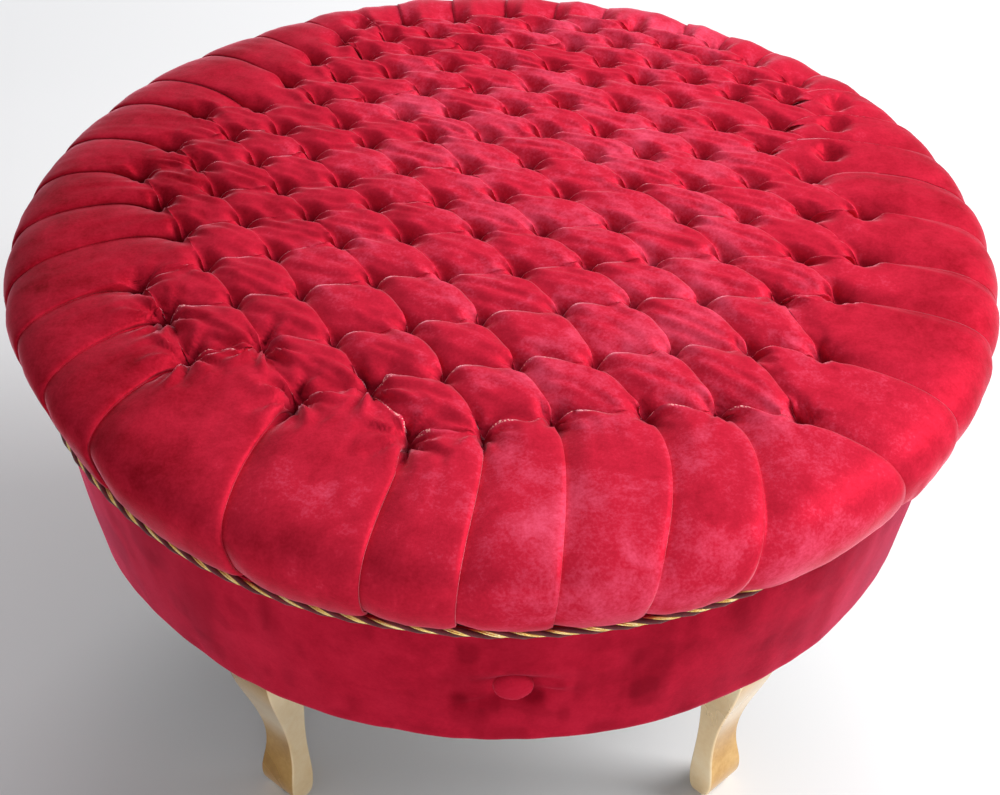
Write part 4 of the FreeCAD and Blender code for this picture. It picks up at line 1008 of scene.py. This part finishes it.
# fibre padding between the band and its panel, dented where the button pulls
pz = np.linspace(366.0, 231.5, 40)
prow = []
for z in pz:
    d = band_disp(bth, np.full(NB, z)) * (1 - 0.75 * smooth01((z - 360.0) / 7.5)) - 1.6 * smooth01((z - 360.0) / 7.5)
    near_b = np.exp(-((bth + math.pi / 2) * 355.4 / 60.0) ** 2 - ((z - 299.0) / 26.0) ** 2)
    r = 344 + 22.4 * (z - 228) / 140.0 + np.minimum(d, 6) - 2.3 - 1.9 * near_b - (4.0 * smooth01((238 - z) / 8.0))
    r = np.maximum(r, 344 + 22.4 * (z - 228) / 140.0 - 10.6)
    prow.append(np.c_[r * np.cos(bth), r * np.sin(bth), np.full(NB, z)])
for z in pz[::-1][::4]:
    r = 344 + 22.4 * (z - 228) / 140.0 - 11.3 + 0 * bth
    prow.append(np.c_[r * np.cos(bth), r * np.sin(bth), np.full(NB, z)])
pv = np.vstack(prow)
pf = []
PR = len(prow)
for a in range(PR):
    b_ = (a + 1) % PR
    for k in range(NB):
        k2 = (k + 1) % NB
        pf.append([a * NB + k, b_ * NB + k, b_ * NB + k2, a * NB + k2])
pad = make_object("side_padding_layer", pv, pf)
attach(pad, "root")
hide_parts("side_padding")


# ------------------------------------------------------------ covered button
def covered_button():
    beta = math.atan2(22.4, 140.0)
    n = np.array([0, -math.cos(beta), -math.sin(beta)])
    up = np.array([0, -math.sin(beta), math.cos(beta)])
    rt = np.array([1.0, 0, 0])
    c0 = np.array([0.0, -355.4, 299.0]) - n * 4.3
    prof = [(0.0, 9.4), (3, 9.3), (6, 8.9), (9, 8.0), (12.0, 6.7), (13.9, 5.0), (14.9, 3.0), (15.1, 1.2), (14.8, -0.6),
            (13.2, -2.0), (11.0, -2.6), (7.0, -2.6)]
    prof = catmull(prof, 4)
    m = 72
    ph = np.linspace(0, 2 * math.pi, m, endpoint=False)
    vs, fs = [c0 + n * prof[0][1]], []
    for (r, h) in prof[1:]:
        w = smooth01((r - 5) / 9.0) if h > -1 else 1.0
        wr_ = 0.16 * w * np.sin(19 * ph + 1.1) + 0.12 * w * np.sin(31 * ph + 0.3) + 0.2 * w * np.sin(5 * ph + 2)
        for k in range(m):
            rr = r * (1 + 0.012 * math.sin(3 * ph[k] + 1))
            vs.append(c0 + n * (h + wr_[k]) + rt * rr * math.cos(ph[k]) + up * rr * math.sin(ph[k]))
    nrow = len(prof) - 1
    for k in range(m):
        k2 = (k + 1) % m
        fs.append([0, 1 + k, 1 + k2])
        for a in range(nrow - 1):
            o = 1 + a * m
            fs.append([o + k, o + m + k, o + m + k2, o + k2])
    vs.append(c0 + n * -2.6)
    o = 1 + (nrow - 1) * m
    for k in range(m):
        fs.append([o + k, len(vs) - 1, o + (k + 1) % m])
    return make_object("button_cover", np.array(vs), fs)


button = covered_button()
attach(button, "root")
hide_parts("front_button")


# --------------------------------------------------------------- twisted cord
TURNS = 47


def strand(name, phases, ro, rs, squash, fibres, seed):
    """One strand of the twisted cord, of one or more yarns: helices round the ring of the groove."""
    yarns = [yarn(p, ro, rs, squash, fibres, seed + 4 * k) for k, p in enumerate(phases)]
    vs, fs = [], []
    for V, F in yarns:
        o = sum(len(v) for v in vs)
        vs.append(V)
        fs += [[o + i for i in f] for f in F]
    return make_object(name, np.vstack(vs), fs)


def yarn(phase, ro, rs, squash, fibres, seed):
    n = TURNS * 34
    t_ = np.linspace(0, 2 * math.pi, n, endpoint=False)
    g = np.random.default_rng(seed)
    a = np.degrees(t_)
    a = (a + 180) % 360 - 180
    sagc = SAG(a)
    left = smooth01((a + 172) / 14.0) * smooth01((-112 - a) / 24.0)
    R0 = 371.0 - 1.8 * sagc + 1.4 * left
    Z0 = 368.9 - 1.5 * sagc + 1.2 * left + 0.35 * np.sin(7 * t_ + 0.4) + 0.25 * np.sin(17 * t_)
    wob = 0.35 * np.sin(23 * t_ + seed)
    phi = -(TURNS * t_) + phase + wob * 0.5
    rad = np.stack([np.cos(t_), np.sin(t_), 0 * t_], -1)
    upv = np.array([0, 0, 1.0])
    C = rad * R0[:, None] + upv * Z0[:, None]
    C = C + rad * (ro * np.cos(phi))[:, None] + upv * (ro * np.sin(phi))[:, None]
    T = np.roll(C, -1, 0) - np.roll(C, 1, 0)
    T /= np.linalg.norm(T, axis=1)[:, None]
    E1 = rad * np.cos(phi)[:, None] + upv * np.sin(phi)[:, None]
    E1 = E1 - (E1 * T).sum(1)[:, None] * T
    E1 /= np.linalg.norm(E1, axis=1)[:, None]
    E2 = np.cross(T, E1)
    m = 10
    vs = []
    jit = 1 + 0.05 * np.sin(11 * t_ * 3 + seed) + 0.03 * np.sin(97 * t_)
    for k in range(m):
        q = 2 * math.pi * k / m
        rib = 1 + 0.05 * math.cos(fibres * q)
        vs.append(C + E1 * (rs * squash * math.cos(q) * rib * jit)[:, None] + E2 * (rs * math.sin(q) * rib * jit)[:, None])
    Vs = np.stack(vs, 1).reshape(-1, 3)
    fs = []
    for a_ in range(n):
        b_ = (a_ + 1) % n
        for k in range(m):
            k2 = (k + 1) % m
            fs.append([a_ * m + k, a_ * m + k2, b_ * m + k2, b_ * m + k])
    return Vs, fs


gold = strand("cord_gold_strand", (-0.31, 0.31, math.pi - 0.31, math.pi + 0.31), 1.75, 0.92, 1.0, 5, 3)
burg = strand("cord_burgundy_strand", (0.5 * math.pi, 1.5 * math.pi), 1.75, 2.0, 0.95, 5, 8)
for ob in (gold, burg):
    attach(ob, "root")
    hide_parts("trim_cord")


# ------------------------------------------------------ dust cover underneath
def dust():
    ths_ = np.linspace(0, 2 * math.pi, 192, endpoint=False)
    rads = [0.001, 20, 45, 75, 105, 135, 165, 195, 220, 240, 256, 270, 284, 296, 306, 314, 319, 322.5, 325]
    rows = []
    for r in rads:
        p = np.stack([r * np.cos(ths_), r * np.sin(ths_), 0 * ths_], -1)
        sag = -0.9 * (1 - (r / 325.0) ** 2)
        pk = 0.35 * np.sin(48 * ths_) * smooth01((r - 285) / 38) + 0.25 * vnoise(p, 35, 31)
        p[:, 2] = 227.15 + sag + np.minimum(pk, 0.3) * (1 if r < 324 else 0.3)
        rows.append(p)
    A = np.stack(rows)
    Bk = A.copy()
    Bk[..., 2] -= 0.55
    Rn, Cn = A.shape[:2]
    vs = np.vstack([A.reshape(-1, 3), Bk.reshape(-1, 3)])
    fs = []
    o2 = Rn * Cn
    for a in range(Rn - 1):
        for k in range(Cn):
            k2 = (k + 1) % Cn
            q = [a * Cn + k, (a + 1) * Cn + k, (a + 1) * Cn + k2, a * Cn + k2]
            fs.append(q)
            fs.append([o2 + i for i in q[::-1]])
    e = (Rn - 1) * Cn
    for k in range(Cn):
        k2 = (k + 1) % Cn
        fs.append([e + k, o2 + e + k, o2 + e + k2, e + k2])
    vs, fs, _ = weld(vs, fs, {})
    return make_object("dust_cover_cloth", vs, fs)


dustc = dust()
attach(dustc, "root")
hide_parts("dust_cover")


# ------------------------------------------------------------------ materials
def srgb(r, g, b):
    def f(c):
        c /= 255.0
        return c / 12.92 if c <= 0.04045 else ((c + 0.055) / 1.055) ** 2.4
    return (f(r), f(g), f(b), 1.0)


class Mat:
    """A small helper that lays out a node material."""

    def __init__(self, name):
        self.m = bpy.data.materials.new(name)
        self.m.use_nodes = True
        self.nt = self.m.node_tree
        self.nt.nodes.clear()
        self.out = self.nt.nodes.new("ShaderNodeOutputMaterial")
        self.b = self.nt.nodes.new("ShaderNodeBsdfPrincipled")
        self.nt.links.new(self.b.outputs[0], self.out.inputs[0])
        tc = self.nt.nodes.new("ShaderNodeTexCoord")
        self.co = tc.outputs["Object"]

    def set(self, **kw):
        names = dict(rough="Roughness", metal="Metallic", sheen="Sheen Weight", sheen_rough="Sheen Roughness",
                     sheen_tint="Sheen Tint", coat="Coat Weight", coat_rough="Coat Roughness", base="Base Color",
                     spec="Specular IOR Level", ior="IOR")
        for k, v in kw.items():
            self.b.inputs[names[k]].default_value = v
        return self

    def mapping(self, scale):
        mp = self.nt.nodes.new("ShaderNodeMapping")
        mp.inputs["Scale"].default_value = scale
        self.nt.links.new(self.co, mp.inputs["Vector"])
        return mp.outputs[0]

    def noise(self, scale, detail=3.0, rough=0.55, vec=None, distortion=0.0):
        n = self.nt.nodes.new("ShaderNodeTexNoise")
        n.inputs["Scale"].default_value = scale
        n.inputs["Detail"].default_value = detail
        n.inputs["Roughness"].default_value = rough
        n.inputs["Distortion"].default_value = distortion
        self.nt.links.new(vec if vec is not None else self.co, n.inputs["Vector"])
        return n.outputs["Fac"]

    def voronoi(self, scale, feature="F1", vec=None, out="Distance"):
        n = self.nt.nodes.new("ShaderNodeTexVoronoi")
        n.feature = feature
        n.inputs["Scale"].default_value = scale
        self.nt.links.new(vec if vec is not None else self.co, n.inputs["Vector"])
        return n.outputs[out]

    def wave(self, scale, vec=None, distortion=0.0, direction="X", detail=2.0, dscale=1.0):
        n = self.nt.nodes.new("ShaderNodeTexWave")
        n.bands_direction = direction
        n.inputs["Scale"].default_value = scale
        n.inputs["Distortion"].default_value = distortion
        n.inputs["Detail"].default_value = detail
        n.inputs["Detail Scale"].default_value = dscale
        self.nt.links.new(vec if vec is not None else self.co, n.inputs["Vector"])
        return n.outputs["Fac"]

    def ramp(self, fac, stops, interp="LINEAR"):
        n = self.nt.nodes.new("ShaderNodeValToRGB")
        n.color_ramp.interpolation = interp
        els = n.color_ramp.elements
        while len(els) < len(stops):
            els.new(0.5)
        for e, (p, c) in zip(els, stops):
            e.position = p
            e.color = c if hasattr(c, "__len__") else (c, c, c, 1)
        self.nt.links.new(fac, n.inputs[0])
        return n.outputs[0]

    def mix(self, fac, a, b, mode="MIX"):
        n = self.nt.nodes.new("ShaderNodeMix")
        n.data_type = "RGBA"
        n.blend_type = mode
        for s, val in ((n.inputs[0], fac), (n.inputs[6], a), (n.inputs[7], b)):
            if hasattr(val, "node"):
                self.nt.links.new(val, s)
            else:
                s.default_value = val
        return n.outputs[2]

    def math(self, op, a, b=0.0, c=None, clamp=False):
        n = self.nt.nodes.new("ShaderNodeMath")
        n.operation = op
        n.use_clamp = clamp
        for s, val in zip(n.inputs, (a, b, c)):
            if val is None:
                continue
            if hasattr(val, "node"):
                self.nt.links.new(val, s)
            else:
                s.default_value = val
        return n.outputs[0]

    def attr(self, name):
        n = self.nt.nodes.new("ShaderNodeAttribute")
        n.attribute_name = name
        return n.outputs["Fac"]

    def bump(self, height, dist, strength=1.0, prev=None):
        n = self.nt.nodes.new("ShaderNodeBump")
        n.inputs["Strength"].default_value = strength
        n.inputs["Distance"].default_value = dist
        self.nt.links.new(height, n.inputs["Height"])
        if prev is not None:
            self.nt.links.new(prev, n.inputs["Normal"])
        return n.outputs[0]

    def link(self, sock, name):
        self.nt.links.new(sock, self.b.inputs[name])
        return self


def velvet(name, dark, mid, light, sheen=0.85, tint=(1.0, 0.22, 0.34, 1), lip=False, metal=0.2, rub=None, nap=None, soft=0.42):
    k = Mat(name)
    big = k.noise(7.0, 2.0, 0.5, distortion=0.5)
    pat = k.noise(24.0, 2.0, 0.45, distortion=0.7)
    mot = k.noise(95.0, 3.0, 0.6, distortion=0.5)
    small = k.noise(420.0, 3.0, 0.6)
    f = k.math("ADD", k.math("MULTIPLY", big, 0.24), k.math("MULTIPLY", pat, 0.32))
    f = k.math("ADD", f, k.math("MULTIPLY", mot, 0.22))
    f = k.math("ADD", f, k.math("MULTIPLY", small, 0.22))
    f = k.math("ADD", k.math("MULTIPLY", f, soft), 0.5 * (1 - soft))
    if nap:          # painted shade: a gradient across x makes one side darker or lighter, as the light falls on it: (x in metres, shift)
        sx = k.nt.nodes.new("ShaderNodeSeparateXYZ")
        k.nt.links.new(k.co, sx.inputs[0])
        pos = k.math("ADD", k.math("MULTIPLY", sx.outputs[0], 1.25), 0.5)
        f = k.math("ADD", f, k.math("MULTIPLY", k.math("SUBTRACT", k.ramp(pos, [(x * 1.25 + 0.5, 0.5 + s / 0.4) for x, s in nap]), 0.5), 0.4))
    col = k.ramp(f, [(0.36, dark), (0.50, mid), (0.64, light)])
    if lip:
        m = k.attr("lip")
        # Painted highlight along the fold lips: the lip mask lightens the colour towards the light tone, and adds pale
        # specks that are painted glints, partly parted pile.
        sp = k.voronoi(560.0)
        gate = k.noise(30.0, 1.0, 0.5)
        painted_lip_glint = k.math("MULTIPLY", k.math("LESS_THAN", sp, 0.46), k.ramp(gate, [(0.44, 0.0), (0.52, 1.0)]))
        painted_lip_glint = k.math("MULTIPLY", painted_lip_glint, k.ramp(m, [(0.52, 0.0), (0.72, 1.0)]), clamp=True)
        # Painted shade: the fold and pit mask darkens the colour towards dark crimson.
        painted_shade_fac = k.attr("deep")
        col = k.mix(k.ramp(painted_shade_fac, [(0.0, 0.0), (0.9, 0.62)]), col, srgb(84, 4, 16))
        edge = k.ramp(m, [(0.25, 0.0), (1.0, 0.26)])
        col = k.mix(edge, col, light)
        col = k.mix(painted_lip_glint, col, srgb(255, 176, 172))
    # Painted shade and crushed pile: on the band, the mask of dents, creases and patches darkens the colour towards the
    # given dark crimson.
    if rub is not None:
        col = k.mix(k.math("MULTIPLY", k.attr("deep"), 0.75), col, rub)
    k.link(col, "Base Color")
    k.set(sheen=sheen, sheen_rough=0.30, sheen_tint=tint, spec=0.0, metal=metal)
    k.b.inputs["Specular Tint"].default_value = (1.0, 0.35, 0.45, 1)
    k.link(k.ramp(pat, [(0.32, 0.46), (0.68, 0.62)]), "Roughness")
    pile = k.noise(1300.0, 2.0, 0.6)
    brush = k.noise(60.0, 3.0, 0.6, distortion=0.8)
    k.link(k.bump(brush, 0.0005, 0.4, prev=k.bump(pile, 0.0002, 0.6)), "Normal")
    return k.m


# painted shade: the seat velvet is darkened on its left and at its far right edge
VELVET = velvet("velvet_crimson", srgb(126, 4, 15), srgb(196, 34, 58), srgb(246, 100, 134), sheen=0.7, tint=(1.0, 0.42, 0.51, 1), lip=True,
                nap=[(-0.40, -0.075), (-0.25, -0.060), (-0.12, -0.012), (0.0, 0.005), (0.2, 0.018), (0.39, -0.07)])
# The band's velvet is a darker copy of the seat velvet: painted shade on the side of the ottoman, painted darker still
# towards its right.
BAND_SHADED = velvet("velvet_crimson_band", srgb(118, 9, 24), srgb(174, 25, 48), srgb(204, 40, 66), sheen=0.7,
              tint=(1.0, 0.20, 0.34, 1), metal=0.1, rub=srgb(104, 5, 18),
              nap=[(-0.36, 0.08), (-0.15, 0.01), (0.05, 0.0), (0.2, -0.06), (0.36, -0.14)])
BUTTON = velvet("velvet_crimson_button", srgb(156, 18, 40), srgb(182, 28, 52), srgb(204, 42, 70), sheen=0.35,
                tint=(1.0, 0.30, 0.45, 1), metal=0.1)


def gilt():
    k = Mat("gilt_paint")
    cloud = k.noise(16.0, 3.0, 0.55, distortion=0.4)
    fine = k.noise(240.0, 3.0, 0.6)
    f = k.math("ADD", k.math("MULTIPLY", cloud, 0.8), k.math("MULTIPLY", fine, 0.2))
    face = k.ramp(f, [(0.36, srgb(236, 202, 148)), (0.5, srgb(246, 218, 170)), (0.64, srgb(252, 230, 190))])
    # darker gold used as painted shade on the flanks
    side = k.ramp(f, [(0.36, srgb(176, 128, 54)), (0.5, srgb(200, 152, 76)), (0.64, srgb(220, 176, 104))])
    geo = k.nt.nodes.new("ShaderNodeNewGeometry")
    nrm = k.nt.nodes.new("ShaderNodeSeparateXYZ")
    pos = k.nt.nodes.new("ShaderNodeSeparateXYZ")
    k.nt.links.new(geo.outputs["Normal"], nrm.inputs[0])
    k.nt.links.new(k.co, pos.inputs[0])
    out_x = k.math("MULTIPLY", nrm.outputs[0], k.math("SIGN", pos.outputs[0]))
    # painted shade: the two flanks that look away from the middle take the darker gold, less of it at the ankle, which
    # is a painted highlight
    painted_flank_shade = k.ramp(out_x, [(0.30, 0.0), (0.62, 1.0)])
    painted_ankle_highlight = k.ramp(k.math("ADD", pos.outputs[2], k.math("MULTIPLY", cloud, 0.03)), [(0.085, 1.0), (0.115, 0.15), (0.135, 0.15), (0.175, 1.0)])
    k.link(k.mix(k.math("MULTIPLY", painted_flank_shade, painted_ankle_highlight), face, side), "Base Color")
    k.set(metal=0.5, coat=0.6, coat_rough=0.12)
    k.link(k.ramp(cloud, [(0.3, 0.24), (0.7, 0.36)]), "Roughness")
    k.link(k.bump(fine, 0.00015, 0.4, prev=k.bump(cloud, 0.0012, 0.25)), "Normal")
    return k.m


def thread(name, dark, mid, light, metal, rough):
    k = Mat(name)
    fib = k.noise(1400.0, 2.0, 0.6)
    soft = k.noise(120.0, 2.0, 0.5)
    f = k.math("ADD", k.math("MULTIPLY", fib, 0.65), k.math("MULTIPLY", soft, 0.35))
    k.link(k.ramp(f, [(0.34, dark), (0.5, mid), (0.64, light)]), "Base Color")
    k.set(metal=metal, rough=rough, sheen=0.15)
    k.link(k.bump(fib, 0.0003, 0.8), "Normal")
    return k.m


def wood(name, dark, mid, light, scale, axis, rough=0.6):
    k = Mat(name)
    vec = k.mapping(axis)
    g1 = k.noise(scale, 5.0, 0.62, vec=vec, distortion=1.2)
    g2 = k.noise(scale * 7, 3.0, 0.6, vec=vec)
    f = k.math("ADD", k.math("MULTIPLY", g1, 0.7), k.math("MULTIPLY", g2, 0.3))
    k.link(k.ramp(f, [(0.33, dark), (0.5, mid), (0.67, light)]), "Base Color")
    k.link(k.ramp(g2, [(0.3, rough - 0.08), (0.7, rough + 0.1)]), "Roughness")
    k.link(k.bump(g2, 0.0004, 0.5), "Normal")
    return k.m


def plies():
    k = Mat("birch_ply")
    vec = k.mapping((1.0, 9.0, 1.0))
    g1 = k.noise(9.0, 5.0, 0.6, vec=vec, distortion=1.0)
    face = k.ramp(g1, [(0.3, srgb(196, 158, 110)), (0.5, srgb(216, 182, 134)), (0.7, srgb(230, 202, 158))])
    band_ = k.wave(118.0, vec=k.mapping((0.0, 0.0, 1.0)), direction="Z", detail=0.0)
    geo = k.nt.nodes.new("ShaderNodeNewGeometry")
    sep = k.nt.nodes.new("ShaderNodeSeparateXYZ")
    k.nt.links.new(geo.outputs["Normal"], sep.inputs[0])
    side = k.math("LESS_THAN", k.math("ABSOLUTE", sep.outputs[2]), 0.5)
    edge = k.mix(k.ramp(band_, [(0.4, 0.0), (0.6, 1.0)]), srgb(150, 110, 66), srgb(220, 188, 140))
    k.link(k.mix(side, face, edge), "Base Color")
    k.set(rough=0.62)
    k.link(k.bump(g1, 0.0004, 0.4), "Normal")
    return k.m


def metal(name, c0, c1, rough):
    k = Mat(name)
    s = k.noise(260.0, 3.0, 0.6, vec=k.mapping((1.0, 0.25, 1.0)))
    k.link(k.ramp(s, [(0.35, c0), (0.65, c1)]), "Base Color")
    k.set(metal=1.0)
    k.link(k.ramp(s, [(0.3, rough - 0.06), (0.7, rough + 0.1)]), "Roughness")
    k.link(k.bump(s, 0.0001, 0.4), "Normal")
    return k.m


def fibre(name, c0, c1, c2, scale, rough=0.9, dist=0.0012):
    k = Mat(name)
    a = k.noise(scale, 4.0, 0.65, distortion=1.5)
    b = k.noise(scale * 5, 3.0, 0.6)
    f = k.math("ADD", k.math("MULTIPLY", a, 0.6), k.math("MULTIPLY", b, 0.4))
    k.link(k.ramp(f, [(0.34, c0), (0.5, c1), (0.66, c2)]), "Base Color")
    k.set(rough=rough, sheen=0.2)
    k.link(k.bump(f, dist, 0.8), "Normal")
    return k.m


def nonwoven():
    k = Mat("black_nonwoven")
    cell = k.voronoi(380.0)
    dots = k.ramp(cell, [(0.25, 0.0), (0.45, 1.0)])
    fib = k.noise(700.0, 4.0, 0.7, distortion=2.0)
    k.link(k.mix(k.math("MULTIPLY", dots, fib), srgb(20, 20, 22), srgb(54, 54, 58)), "Base Color")
    k.set(rough=0.88, sheen=0.25)
    k.link(k.bump(dots, 0.0003, 0.7, prev=k.bump(fib, 0.0002, 0.5)), "Normal")
    return k.m


GILT = gilt()
GOLD_T = thread("gold_thread", srgb(222, 170, 70), srgb(250, 214, 118), srgb(255, 244, 190), 0.45, 0.26)
BURG_T = thread("burgundy_thread", srgb(58, 4, 12), srgb(88, 8, 20), srgb(118, 16, 32), 0.0, 0.7)
PLY = plies()
PINE = wood("pine", srgb(190, 146, 92), srgb(214, 174, 120), srgb(232, 198, 148), 14.0, (5.0, 5.0, 0.6))
HARD = fibre("hardboard", srgb(96, 62, 36), srgb(122, 82, 50), srgb(146, 102, 66), 160.0, 0.7, 0.0003)
STEEL = metal("zinc_steel", srgb(150, 152, 156), srgb(196, 198, 202), 0.34)
STAPLE = metal("staple_wire", srgb(160, 160, 162), srgb(206, 206, 208), 0.3)
NYLON = fibre("nylon", srgb(30, 28, 27), srgb(38, 36, 34), srgb(50, 47, 45), 420.0, 0.5, 0.0001)
FOAM = fibre("foam", srgb(220, 206, 150), srgb(234, 222, 172), srgb(244, 236, 196), 420.0, 0.9, 0.0006)
WAD = fibre("wadding_fibre", srgb(214, 214, 210), srgb(236, 236, 232), srgb(248, 248, 246), 90.0, 0.95, 0.003)
TWINE = thread("twine_thread", srgb(188, 172, 138), srgb(216, 202, 170), srgb(236, 226, 200), 0.0, 0.8)
LINING = nonwoven()


def dress(ob, mat):
    ob.data.materials.clear()
    ob.data.materials.append(mat)


for ob, mat in ((cover, VELVET), (band, BAND_SHADED), (button, BUTTON), (gold, GOLD_T), (burg, BURG_T), (wad, WAD), (pad, WAD), (dustc, LINING)):
    dress(ob, mat)

NODE_MATS = [("leg_plate_screws", STEEL), ("leg_plate", STEEL), ("leg_bolts", STEEL), ("leg_", GILT),
             ("foot_glide", NYLON), ("dust_cover_staples", STAPLE), ("twine_staples", STAPLE), ("tufting_twine", TWINE),
             ("base_board", PLY), ("seat_deck", PLY), ("upright", PINE), ("deck_rail", PINE), ("side_panel", HARD),
             ("side_padding", WAD), ("seat_foam", FOAM), ("frame_screws", STEEL), ("front_button_tack", STEEL),
             ("seat_wadding", WAD), ("seat_cover", VELVET), ("side_cover", BAND_SHADED), ("front_button", BAND_SHADED),
             ("trim_cord", GOLD_T), ("dust_cover", LINING)]
for ob in [o for o in bpy.data.objects if "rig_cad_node" in o]:
    for pre, mat in NODE_MATS:
        if ob.name.startswith(pre):
            if len(ob.material_slots) == 0:
                ob.data.materials.append(mat)
            for s in ob.material_slots:
                s.material = mat
            break
    else:
        print("no material for", ob.name)


# ---------------------------------------------------------------------- stage
def plane(name, size, z):
    me = bpy.data.meshes.new(name)
    s = size
    me.from_pydata([(-s, -s, z), (s, -s, z), (s, s, z), (-s, s, z)], [], [(0, 1, 2, 3)])
    ob = bpy.data.objects.new(name, me)
    bpy.context.scene.collection.objects.link(ob)
    return ob


floor = plane("floor", 12.0, 0.0)
fl = Mat("pale_floor")
fl.link(fl.ramp(fl.noise(1.5, 2.0), [(0.3, (0.80, 0.80, 0.805, 1)), (0.7, (0.84, 0.84, 0.845, 1))]), "Base Color")
fl.set(rough=0.75)
dress(floor, fl.m)


def lamp(name, loc, target, size, power, col=(1, 1, 1)):
    ld = bpy.data.lights.new(name, "AREA")
    ld.shape = "DISK"
    ld.size = size
    ld.energy = power
    ld.color = col
    ob = bpy.data.objects.new(name, ld)
    ob.location = loc
    d = Vector(target) - Vector(loc)
    ob.rotation_mode = "QUATERNION"
    ob.rotation_quaternion = d.to_track_quat("-Z", "Y")
    bpy.context.scene.collection.objects.link(ob)
    return ob


lamp("key_light", (2.5, 0.15, 2.0), (0, 0, 0.42), 2.2, 122.0)
lamp("back_light", (0.3, 2.6, 2.3), (0, 0, 0.42), 1.4, 26.0)
lamp("front_fill", (0.1, -3.1, 0.42), (0, 0, 0.16), 1.3, 26.0)
world = bpy.data.worlds.new("studio")
world.use_nodes = True
bg = world.node_tree.nodes["Background"]
bg.inputs[0].default_value = (0.95, 0.97, 1.0, 1)
bg.inputs[1].default_value = 0.42
bpy.context.scene.world = world
bpy.context.scene.view_settings.view_transform = "Standard"
bpy.context.scene.view_settings.look = "None"

cam = bpy.data.cameras.new("camera")
cam.sensor_fit = "HORIZONTAL"
cam.sensor_width = 36.0
cam.lens = 91.574
cam.shift_x = -0.00085
cam.shift_y = -0.0693
cam.clip_start, cam.clip_end = 0.05, 100.0
cob = bpy.data.objects.new("camera", cam)
from mathutils import Matrix
R = Vector((0.99955482, -0.02694318, 0.01281515)).normalized()
U = Vector((0.0064321, 0.61402341, 0.7892616)).normalized()
Fw = Vector((0.02913402, 0.78882781, -0.61392336)).normalized()
M4 = Matrix(((R.x, U.x, -Fw.x, -0.0611332), (R.y, U.y, -Fw.y, -1.6552327), (R.z, U.z, -Fw.z, 1.6422339), (0, 0, 0, 1)))
cob.matrix_world = M4
bpy.context.scene.collection.objects.link(cob)
bpy.context.scene.camera = cob
bpy.context.view_layer.update()
